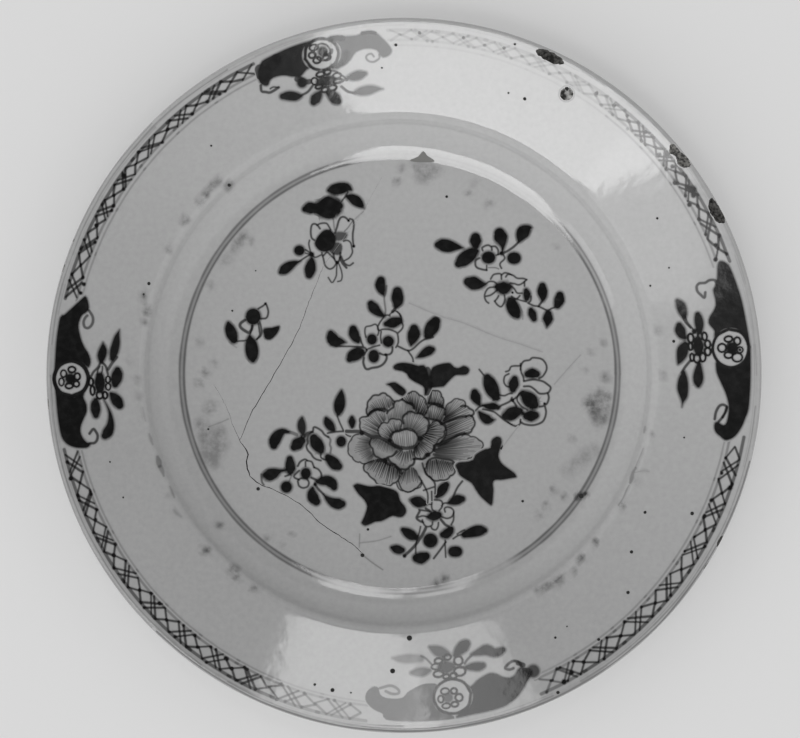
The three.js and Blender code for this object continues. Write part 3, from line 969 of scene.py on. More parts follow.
sprays["middle_sprig"] = [
    leaf((-5.6, 30, 3.2), (-5.8, 28.6, 3.9), (-5.4, 26.8, 3), (-4.7, 25.2, 0.9)),
    line(0.5, (-3.7, 28.3), (-4, 26), (-4.5, 24.2), (-4.1, 20.5), (-4.2, 19), ink=0.6),
    leaf((-0.2, 26.4, 3.6), (-0.2, 24.8, 4.4), (-0.2, 23, 4), (-0.8, 21.6, 1.8)),
    line(1, (-0.8, 21.2), (-0.9, 20.9), (-1.8, 19.9)),
    leaf((-8.8, 22.4, 2.8), (-8, 21.2, 4), (-6.4, 19.6, 3), (-4.6, 18.4, 1.4)),
    line(0.5, (-4.4, 18.6), (-3.5, 18.8), (-2.7, 18.6)),
    line(0.4, (-2.7, 19), (-1.4, 20.1), (0, 19.7), (0.8, 18.3)),
    leaf((-3.9, 15.9, 2.2), (-1.8, 16.3, 4), (0.2, 16.9, 3)),
    line(0.5, (-0.3, 19.9), (0.9, 18.6), (1.2, 16.8), (1.6, 15.3), (1.2, 14.2), (0.1, 13.1)),
    line(0.5, (-4.8, 17.9), (-5.9, 16.4), (-6.6, 14.9), (-6.3, 13.8), (-4.8, 14.2), (-2.6, 14),
         (-0.5, 13.1), (0, 11.6), (0, 9.7), (-0.7, 8.3)),
    dot(-3.2, 10.2, 4.2, 4.1),
    line(0.45, (-5.5, 13.4), (-5.7, 11.6), (-5.5, 9.7)),
    line(0.6, (-1.8, 8.3), (-2, 6.8), (-2.9, 6), (-4.8, 5.9), (-5.9, 6.4)),
    dot(-4, 5.9, 1),
    dot(-8.5, 10.9, 3.7, 4),
    line(0.45, (-10.5, 11.6), (-10.8, 13.4), (-10.5, 14.9), (-8.9, 15.3), (-7.4, 15.8), (-6.6, 14.9),
         (-6.3, 13.4), (-6.6, 12.3)),
    dot(-7.9, 5.4, 3.9, 4.7),
    line(0.7, (-11.1, 4.9), (-11.3, 3.4), (-10.7, 1.6), (-9.8, 1.2), (-8.5, 1.6), (-6.3, 2), (-4.8, 2.9),
         (-3.9, 4.2), (-3.7, 5.3), (-4, 5.9)),
    leaf((-21.9, 12.9, 2.4), (-21.6, 11.8, 4), (-20.8, 10.4, 4.4), (-18.8, 10.2, 2.8), (-16.9, 9.9, 0.7)),
    leaf((-14.6, 14.2, 3), (-14.4, 12.8, 3.9), (-13.7, 11.2, 3.2), (-13, 10.2, 1.8)),
    line(0.5, (-12.4, 11.6), (-11.8, 9.7), (-11.4, 8.8)),
    leaf((-15.8, 4.4, 2.4), (-14.9, 5.4, 4.2), (-13, 6.4, 4.4), (-11.9, 6.8, 2.6)),
    line(0.5, (-20.3, 8.6), (-14.8, 8.6), (-11.1, 8.3), (-10.1, 7.3)),
    line(0.5, (-10.3, 7.5), (-8.5, 8.3), (-6, 9)),
    line(0.5, (-11.1, 5.7), (-10.3, 7.1)),
    leaf((5.2, 14.4, 3.2), (5.2, 12.8, 4.6), (4.6, 10.8, 3.6), (4.2, 9, 1.2)),
    leaf((12.2, 16.8, 3.6), (11.2, 15, 5), (10, 13, 4), (9.4, 12, 2.4)),
    leaf((5.9, 4.9, 0.6), (7.6, 5.8, 2.4), (9.2, 6.8, 3.4), (10.4, 7.4, 3.4), (11.2, 7.6, 2.2)),
    line(0.55, (0.1, 8.6), (3.1, 7.3), (4.9, 7.9), (7.9, 10.5), (11.4, 11.6)),
    line(0.5, (3.1, 7.3), (4.7, 4.9), (4.9, 3.3)),
]

sprays["upper_right_spray"] = [
    leaf((12.9, 41.6, 2.6), (14.2, 41.6, 4.4), (16.4, 41.2, 4.6), (18.6, 41, 3), (21.2, 40.6, 0.8)),
    leaf((19.6, 35.4, 2.8), (20.8, 36.4, 4.6), (22.6, 37.8, 5), (24.4, 39, 4), (25.8, 39.6, 1.6)),
    leaf((25.2, 44, 3.6), (25.2, 42.8, 4.4), (25.4, 41.4, 2.6), (25.6, 40.3, 0.8)),
    dot(29.4, 37.5, 5, 4.4),
    line(0.55, (27.5, 39.8), (27.3, 40.6), (28.3, 41.3), (29.4, 41.5), (30.3, 40.9), (30.5, 40)),
    line(0.55, (30.5, 41.1), (31.6, 41.1), (32.5, 40), (32.5, 38.5)),
    dot(33.5, 39, 1.1),
    line(0.6, (26.4, 37.3), (25.3, 36.6), (25.1, 35.3), (25.7, 34.2), (27.5, 33.6), (28.8, 33.4)),
    line(0.4, (28.8, 34.9), (28.8, 33.4)),
    line(0.3, (29.4, 34.2), (31.6, 34.2), (32.7, 33.8), ink=0.6),
    line(0.5, (32, 38.3), (33.1, 38.6), (34.2, 38.4), (34.6, 37.1), (33.4, 35.9), (33.1, 35.1),
         (33.6, 34)),
    leaf((33, 45.4, 4), (33.4, 44, 5), (33.9, 42.2, 3), (34, 40.4, 1.4), (33.8, 38.6, 1)),
    leaf((39.4, 43, 1.8), (39.9, 44.4, 3.8), (40.9, 46, 4.8), (42.6, 47.2, 2.2), (43.7, 47.2, 0.4)),
    line(0.7, (39.1, 42.4), (37.2, 40.7), (35, 39.3), (33.6, 38.8)),
    dot(37.7, 37.3, 5, 4.3),
    leaf((22.8, 29.6, 3.4), (24.4, 29.2, 4.9), (26.4, 28.8, 3.6), (28.4, 28.8, 1.2)),
    leaf((32.4, 28, 2.6), (34.2, 27.6, 4.8), (35.6, 27.8, 3.4), (36.6, 28.2, 1.4)),
    line(0.5, (30.1, 30.5), (30.9, 31.8), (32, 32.2), (33.4, 32.1), (33.6, 30.5)),
    line(0.5, (33.6, 31.8), (34.6, 32.5), (36, 32.3), (37, 31.8)),
    line(0.5, (28.6, 29), (29.7, 29.7), (31.2, 29.6), (32.3, 28.8)),
    line(0.5, (32, 27.9), (29.7, 27.7), (28.6, 26.6), (28.1, 24.9), (28.6, 23.4), (29.4, 22.7)),
    line(0.5, (28.6, 24.9), (30.1, 25.3), (31.6, 26.4), (32.2, 27.2)),
    line(0.5, (31.4, 23.3), (32.2, 24.2), (32.7, 25.1)),
    line(0.5, (31.4, 23.3), (32.3, 22.1), (33.4, 21.5), (34.2, 22.3), (34.7, 23.8), (34.6, 25.1)),
    line(0.5, (35, 31.2), (35.7, 32), (37.2, 31.8), (38.7, 30.8), (40.6, 30.7), (41.8, 30.3)),
    line(0.5, (36.5, 29.2), (37.8, 29), (39.1, 28.6), (40.2, 29), (41.1, 29.7), (41.8, 30.3)),
    line(0.5, (41.1, 29.7), (41.1, 28.3)),
    line(0.5, (36.7, 28.3), (37.8, 27.3), (38.7, 26), (40.2, 25.9)),
    dot(37.2, 26.1, 0.8),
    line(0.5, (36.9, 24.9), (37.8, 24.2), (38.7, 24.2), (39.6, 25.1)),
    leaf((36.4, 23.8, 2.2), (36.8, 22.6, 4.2), (37.6, 20.6, 4.6), (38.4, 19.2, 3.8), (38.8, 18.6, 2.4)),
    line(0.35, (39.4, 22.3), (40.2, 20.5), (40.6, 19), (40.5, 17.5), ink=0.4),
    line(0.4, (38, 24.2), (39.8, 23.6), (41.7, 23.1)),
    leaf((41.6, 26.8, 2), (41.9, 25.6, 3), (41.8, 24.2, 2.2)),
    line(0.45, (43.3, 24.9), (43.1, 23.4), (42.2, 22.7)),
    leaf((46.9, 28.2, 2.8), (46.9, 26.6, 3.9), (47.1, 24.8, 3), (47, 23.4, 1.2)),
    leaf((52.6, 25.2, 3), (52.4, 23.6, 4), (51.8, 22, 2.8)),
    leaf((43.2, 20.4, 2.2), (43.6, 19.2, 3.2), (44.2, 17.6, 2.4)),
    leaf((48.8, 19.2, 2.8), (48.7, 17.6, 3.9), (48.6, 16.2, 2.4), (48.3, 14.8, 0.8)),
    line(0.55, (42.6, 22.5), (44.3, 21.8), (45.7, 21.6), (47.6, 20.7), (48.7, 20.3), (49.8, 20.9),
         (50.7, 21.2)),
    line(0.7, (45.7, 21.6), (46.1, 22.3), (46.7, 23.1)),
]

sprays["right_sprig"] = [
    line(0.55, (39.8, 1), (40, 2.5), (40.9, 3.8), (42.8, 4.2), (43.7, 4.9), (46.4, 4.6), (47.7, 3.5),
         (48.3, 2), (48.1, 0.6), (47, -1.1), (45.9, -1.8)),
    line(0.5, (35, 0.4), (36.1, 0.8), (36.9, 2.1), (39.8, 2.3)),
    line(0.5, (39.8, 3), (40, 0.4), (40.7, -1.4), (40.9, -2.6)),
    leaf((42.2, -0.4, 2.8), (43.6, -0.1, 3.8), (45, -0.4, 2.8)),
    leaf((37.9, -2, 2.6), (37.6, -3.6, 3.9), (37.3, -5.4, 2.6)),
    line(0.5, (36, -0.3), (34.7, -1.1), (34.4, -2.9), (35.1, -4.2), (36, -4.6)),
    line(0.6, (40.9, -2.7), (42.4, -2.4), (44.3, -2.2), (46.9, -2.7), (48.5, -3.7), (49.6, -4.8),
         (49.1, -6.1), (48.3, -6.6), (46.9, -6.8), (45.7, -6.6), (44.3, -5.3), (42.8, -4.4), (40.9, -4.4)),
    leaf((40.6, -6.6, 2.4), (42, -8, 4.8), (43.4, -9.4, 5.2), (44.4, -10.4, 3.2)),
    line(0.5, (40, -6.3), (39.1, -7), (38.7, -8.9), (39.8, -10.5), (40.9, -11.4), (42, -12)),
    leaf((41.8, -14, 3), (43.2, -14, 4.2), (44.6, -13.8, 3)),
    line(0.6, (48.7, -6.6), (49, -8.1), (48.5, -9.8), (47.4, -10.7), (46.1, -11)),
    dot(47.6, -10, 0.9),
    line(0.6, (47.8, -11.1), (48.1, -12.6), (47.8, -14.4), (46.9, -15.9), (45, -16.8), (43, -17),
         (40.9, -16.6), (39.8, -15.9)),
    leaf((34.6, -14, 2.4), (36.2, -13.6, 4.6), (38, -12.8, 4.4), (39.6, -12.4, 2.6)),
    line(0.55, (35.7, -16.1), (36.9, -16.8), (38.3, -17.3), (39.6, -16.6), (39.8, -15.2)),
    leaf((29, -1.6, 3), (29.6, -3, 4.6), (30.6, -5.4, 5), (31.6, -7.4, 3.6), (32.2, -8.4, 2)),
    line(0.5, (26.4, 1.1), (27.6, -0.4), (28.6, -1.4)),
    leaf((24.9, -6.4, 2.8), (25.2, -7.8, 4), (25.9, -9.4, 2.6), (26.4, -10.4, 1.4)),
    leaf((27.4, -10.5, 1), (29.4, -10.9, 2.4), (31.2, -10.9, 2.8), (32.6, -11.2, 1.6)),
    leaf((26.4, -12.8, 1.4), (27.6, -14.2, 3), (29, -15.2, 3.6), (30.2, -15.4, 2.2), (31.5, -15.2, 0.6)),
    dot(24.7, -12.7, 1),
    line(0.5, (24.7, -12.7), (26.4, -11.1), (27.5, -10.7)),
    line(0.5, (27.5, -11.8), (30.9, -12.6), (32.3, -13.5), (34.2, -15.1), (36, -16.3), (37, -16.8)),
    line(0.6, (32.5, -11.8), (33.4, -10.7), (34.9, -10), (36.4, -9.2), (37, -8.1)),
    line(0.5, (32.9, -7.2), (34.6, -7.4), (36, -6.8), (37, -6.7)),
    line(0.5, (30.9, -8.9), (33, -8.3)),
    dot(37.2, -8.9, 1.2),
    line(0.6, (37.2, -8.9), (38.7, -7.7), (40.2, -6.3)),
    line(0.6, (37.2, -8.9), (38.5, -10.7)),
]

sprays["lower_left_sprigs"] = [
    leaf((-18.4, -5.8, 1.2), (-18.6, -7.6, 3), (-19, -10, 4.2), (-19.3, -12.2, 3.4), (-19.4, -13.2, 2)),
    line(0.45, (-19.8, -14), (-18.9, -16.3), (-17.7, -18.9)),
    leaf((-23.4, -14.8, 1.6), (-22.9, -16, 3.2), (-21.8, -17.6, 3.2), (-21, -18.4, 1.8)),
    leaf((-15, -14.6, 1.8), (-15, -15.8, 2.9), (-14.9, -17.2, 2)),
    line(0.45, (-15, -17.9), (-14.8, -18.9)),
    leaf((-31.2, -14.6, 1.2), (-31.4, -16, 2.8), (-31.3, -18, 3.2), (-30.9, -19.8, 1.8), ink=0.97),
    leaf((-33.8, -24.2, 2.8), (-32.8, -23.2, 4.4), (-31.4, -22, 3.2)),
    line(1, (-37, -19.2), (-34.8, -19.4), (-32.9, -20.1), ink=0.6),
    leaf((-40.4, -23.6, 3), (-40.2, -22.2, 4.2), (-39, -20.2, 3.8), (-37.4, -19, 2.4),
         (-35.6, -19.2, 1.2)),
    leaf((-27.4, -21.2, 3.2), (-26.6, -22.8, 4.6), (-25.4, -24.6, 3.8), (-25, -25.4, 2.4)),
    line(0.6, (-27.7, -19.2), (-27.4, -17.7), (-26.3, -17.9), (-24.8, -18.9), (-24, -20), (-22.7, -20.9)),
    line(0.6, (-22.7, -20.7), (-22, -21.8), (-22.2, -23.3), (-21.8, -24.4), (-22, -25.9), ink=0.6),
    line(0.55, (-28.1, -19.2), (-29.4, -20.7), (-29.4, -22.9), (-29.8, -23.7), (-29.4, -25.1),
         (-28.3, -26.3), (-27.6, -27.4), (-26.6, -28.1), (-25.1, -28.5)),
    line(0.5, (-25.1, -26.3), (-25.1, -27.4), (-24.2, -28.1), (-22.9, -28.3)),
    line(0.8, (-30.3, -20.7), (-29.4, -19.6), (-28.1, -19.2)),
    dot(-18.5, -22.3, 3.6, 4),
    leaf((-22.8, -27.4, 2.6), (-21.8, -28.4, 3.8), (-20.4, -29.8, 4.2), (-19.4, -30.4, 3)),
    line(0.55, (-22.9, -19.6), (-20.7, -19.2), (-17, -19), (-11.8, -19.2)),
    line(0.45, (-17, -19.2), (-16.8, -20.1), (-15.1, -20.7), (-13.3, -20)),
    leaf((-35.2, -28, 2.6), (-35.1, -29.6, 3.6), (-35, -31.2, 3.8), (-35, -32, 2.6)),
    leaf((-43, -33.2, 2.6), (-42, -33.2, 4.4), (-40.2, -32.6, 3.8), (-38.4, -31.9, 1.8),
         (-36.6, -31.6, 1.2)),
    line(0.5, (-36.7, -33.6), (-35, -33.1)),
    dot(-30, -32.7, 3.7, 4.2),
    line(0.6, (-32.6, -30.3), (-31.8, -28.9), (-30.3, -28.1), (-29.6, -28.5)),
    line(0.5, (-29.6, -28.5), (-28.1, -28.9), (-27.6, -30), (-27.2, -30.7)),
    line(0.5, (-30.1, -28.9), (-30.1, -30.3)),
    line(0.55, (-27.4, -30.7), (-25.9, -31.4), (-25, -32.7), (-25, -34)),
    line(0.55, (-32.2, -31.8), (-33.7, -33.3), (-33.7, -34), (-32.2, -34.8)),
    line(0.55, (-32.6, -35.2), (-32.2, -36.7), (-30.9, -37.4), (-29.4, -36.9), (-29, -35.6),
         (-29.8, -34.5), (-31.4, -34.3), (-32.4, -34.6)),
    line(0.7, (-28.1, -34.1), (-26.8, -34.7), (-26.1, -35.2)),
    leaf((-26.6, -35.4, 1.2), (-25, -35.2, 3), (-23, -35, 3.8), (-21.4, -36, 3.8), (-20.8, -37.2, 2.6)),
    leaf((-27.8, -37.4, 1.4), (-28, -38.8, 3.2), (-27.6, -40.6, 4.2), (-26.6, -41.8, 3.2)),
    leaf((-24.2, -39.6, 0.8), (-22.8, -41, 2.2), (-21, -42.2, 3.6), (-19.2, -42.6, 4),
         (-18.2, -42.6, 2.8)),
    line(0.7, (-27, -36.3), (-25.9, -37.8), (-24.2, -39.5)),
    dot(-27, -36.2, 1.2),
    dot(-36.3, -37.1, 4.1, 4.3),
    line(0.45, (-35.4, -35.2), (-34.6, -33.4), ink=0.5),
    line(0.6, (-44.5, -33), (-44.3, -35.2), (-43.7, -36.5), ink=0.7),
]

sprays["lower_sprig"] = [
    leaf((3.7, -41.2, 0.7), (5.2, -41.6, 3.2), (6.8, -42, 4.2), (8.4, -42.4, 2.6)),
    leaf((15.6, -36.4, 2.6), (14.8, -37.4, 3.6), (13.6, -39, 3.4), (12.6, -40.2, 1.8)),
    leaf((16.4, -42.4, 1), (17.8, -41.8, 3), (19.4, -41.2, 3.8), (20.8, -41, 2.6)),
    leaf((9.8, -46.9, 1.6), (11.4, -46.6, 3.6), (13, -46.3, 3)),
    line(0.5, (11, -41.9), (10.9, -43.4), (11.2, -44.5), (12.1, -45)),
    line(0.5, (11.8, -41.3), (13.8, -41.5), (14.4, -42.3), (14.2, -43.7), (13.4, -44.7)),
    line(0.5, (15.3, -45.2), (15.1, -44.1), (16, -43.6), (17.5, -44.1), (18.1, -45.2), (17.5, -46.7),
         (16, -47.3), (14.4, -46.9)),
    line(0.5, (18.1, -45.2), (18, -47.8), (17.3, -49.3)),
    line(0.8, (14, -47.8), (15.3, -49.3), (16.4, -49.9)),
    line(0.5, (13.1, -48.6), (13, -49.9), (12.3, -51), (11.2, -50.8), (10.7, -50)),
    line(0.5, (11.2, -48.6), (11, -49.5), (9.9, -50), (8.8, -49.7), (8.1, -48.6), (7.9, -47.8)),
    line(0.7, (7, -45), (6.6, -45.8), (6, -47.1), (6.8, -48), (8.1, -48.6)),
    line(0.5, (6.6, -46.9), (7.9, -46.5), (9.4, -46.7)),
    line(0.5, (6.8, -44.5), (10.1, -45)),
    line(0.7, (9, -44.1), (10.5, -45)),
    line(0.4, (9.2, -42.8), (10.9, -42.7)),
    leaf((1.6, -51, 2), (2.8, -51.8, 3.4), (4.4, -52.8, 3.8), (5.6, -53.4, 2.6)),
    dot(10.5, -54.5, 5.2),
    leaf((6, -60.2, 3.2), (7.4, -60.2, 4.4), (9, -59.6, 3.2)),
    leaf((14.6, -52.6, 2.6), (15.6, -52.4, 3.6), (16.8, -51.4, 3.2), (17.2, -50.8, 2.4)),
    dot(18.6, -58.1, 5.1, 3.9),
    leaf((21.6, -52.6, 2.6), (23.4, -52, 3.6), (25.6, -51.4, 4.2), (27.2, -51.2, 3.6), (28.2, -51.2, 2.2)),
    leaf((-2, -56.8, 1.6), (-0.8, -57.2, 3.2), (0.6, -57.6, 3.2), (1.4, -57.6, 2.2)),
    line(0.9, (9, -50.4), (8.3, -51.9), (6.4, -54.9), (4.6, -57.1), (2, -59.5)),
    dot(2.1, -59.5, 1.3),
    line(0.45, (7.3, -50), (6.8, -52.3), (5.9, -55.2), (5.7, -58.6)),
    line(0.45, (15.3, -54.5), (15.3, -56), (15.5, -59.9)),
    line(0.6, (15.5, -55), (13.8, -57.4), (11.6, -60.3)),
    line(0.5, (17.9, -53.9), (19.7, -52.8), (21.6, -52.6)),
    line(0.4, (19.2, -52.4), (20.5, -51.5), (21.6, -51)),
    line(0.6, (20.9, -35.2), (19.4, -37.1), (18.3, -39.3), (17.5, -41.1), (16.4, -42.3)),
    line(0.5, (14.2, -43.2), (14.9, -42.4), (16.4, -42.3)),
]


crack_gaps = on_well([leaf(*main_crack), leaf(*branch_crack)])
crossed = ("upper_left_spray", "lower_left_sprigs")
for name, strokes in sprays.items():
    painted_sheet(name, on_well(strokes), crack_gaps if name in crossed else ())


# Peony. The one large flower, below the well's middle, with three dark leaves above it and two under it.
# Each petal is drawn round with a fine line, washed grey from its foot and hatched out to its tip. The
# real hatching is finer, and is drawn this coarse so that it shows.
hatch_pitch = 0.75
hatch_width = 0.34
lobe_pitch = 3.2
lobe_swell = 0.45
flower_lift = 0.05


def scalloped(curve, away):
    """A petal's edge in shallow lobes that swell away from its foot."""
    walked = np.concatenate([[0], np.cumsum(np.linalg.norm(np.diff(curve, axis=0), axis=1))])
    lobes = max(2, round(walked[-1] / lobe_pitch))
    ahead = np.gradient(curve, axis=0)
    out = np.stack([-ahead[:, 1], ahead[:, 0]], 1) / np.linalg.norm(ahead, axis=1)[:, None]
    out *= np.sign((out * (curve - away)).sum(1))[:, None]
    swell = np.abs(np.sin(math.pi * lobes * walked / walked[-1])) ** 0.7 - 0.4
    return (curve + out * (lobe_swell * swell)[:, None])[::2].tolist() + [curve[-1].tolist()]


def petal(foot, tip, edge=0.6, wash=0.4, hatch=0.55, reach=0.62):
    """A petal between the line of its foot and its tip, both drawn the same way round. It is outlined,
    washed all over and again at its foot, and hatched from there."""
    lower = curve_through([(x, y) for x, y in foot], 0.3)
    upper = curve_through([(x, y) for x, y in tip], 0.3)
    long = np.linalg.norm(upper[len(upper) // 2] - lower[len(lower) // 2])
    edge_line = scalloped(upper, lower.mean(0))
    strokes = [
        line(edge - 0.1, *edge_line, ink=0.88),
        patch(*tip, *foot[::-1], ink=0.14 + 0.35 * wash, soft=0.9),
    ]

    def between(share, height):
        low = lower[round(share * (len(lower) - 1))]
        high = upper[round(share * (len(upper) - 1))]
        return low + (high - low) * height

    shade = [between(share, 0.16) for share in (0.08, 0.36, 0.64, 0.92)]
    strokes.append(line(0.4 * long, *shade, ink=min(0.75, 1.2 * wash), soft=0.5 * long))
    across = np.linalg.norm(np.diff(upper, axis=0), axis=1).sum()
    count = max(3, round(across / hatch_pitch))
    for k in range(count):
        share = (k + 0.5) / count
        stop = min(0.97, 1.2 * reach * chance.uniform(0.75, 1.15))
        start = chance.uniform(-0.02, 0.06)
        low, middle, high = (between(share, h) for h in (start, (start + stop) / 2, stop))
        ink = min(0.95, 1.3 * hatch * chance.uniform(0.7, 1.1))
        points = (*low, hatch_width), (*middle, hatch_width * 0.85), (*high, hatch_width * 0.45)
        strokes.append(leaf(*points, ink=ink, soft=0.25))
    return strokes


peony = [
    line(0.9, (-9.2, -13.3), (-7.4, -12), (-4.8, -11.8), (-3.7, -12.2)),
    line(1.1, (-16.8, -19), (-11.8, -19.2), (-8.9, -20.7), (-6.3, -20.9), (-4.4, -21.8), (-2.6, -22.9),
         (0, -24.4), (1, -25)),
    line(1, (-6.6, -28.5), (-4.8, -28.5), (-3.3, -29.6), (-1.4, -30), (0.4, -31.4), (1, -32.6)),
    line(0.5, (10.9, -5.9), (10.5, -7.7), (9.9, -9.8)),
    line(0.8, (9.9, -9.8), (11.6, -10), (13.4, -10.3), (14.4, -11.1)),
    line(0.7, (9.2, -14.6), (10.9, -15.1), (13.1, -15.5), (13.8, -16.1)),
    line(0.7, (15.1, -16.3), (17.5, -15.3), (19.7, -14.4), (22, -14)),
    line(0.9, (12.7, -23.3), (15.3, -22.6), (17.5, -21.3), (19.7, -20.1), (21.6, -19.7)),
    line(0.6, (13.8, -16.1), (15.3, -17), (15.7, -19.2), (15.3, -20.7), (13.8, -22.6), (12.7, -23.3)),
    line(0.6, (9.3, -29.6), (10.1, -28.3), (12, -27.6), (14.9, -28), (17.5, -28.5), (18.4, -29.6)),
    line(1, (11.6, -25.2), (12, -23.7)),
    line(1.1, (-2.4, -22), (-1.5, -23.3), (0.5, -24.2), (2.7, -24.5), (5.3, -24), (6.5, -22.6),
         (6.8, -21.2)),
    line(0.8, (-2.5, -22), (-2.4, -20.5), (-1.4, -19.3), (0.2, -18.9), (1.4, -18.5), (3.1, -18.2),
         (4.6, -18.6), (5.9, -19.6), (6.8, -21)),
    line(0.7, (4.9, -28), (6.4, -28), (8.1, -27.9), (9, -26.6)),
    line(0.45, (0.1, -35.2), (1.2, -37.8), (3.1, -38.7), (4.9, -38.2), (6.4, -37.1), (7.5, -35.6)),
    line(0.5, (8.3, -38.2), (10.1, -37.6), (11.6, -37.1)),
    line(0.5, (6.8, -33.7), (8.1, -36), (9.4, -38.6), (9.7, -40.4), (9.6, -42.3)),
    line(0.6, (10.1, -33.7), (11.8, -35.6), (12.1, -37.8), (12, -39.3)),
    line(0.5, (10.9, -38.6), (11, -41.5)),
    line(0.5, (7.9, -29.4), (8.4, -31.2), (9.6, -33.2)),
    dot(-11.8, -19.6, 1.6),
    dot(-4.2, -28.5, 1.8),
    dot(9.7, -26.6, 1.7),
    dot(7.3, -21.3, 2),
    dot(-2.8, -22, 1.2),
    dot(14.2, -16.5, 1.2),
]
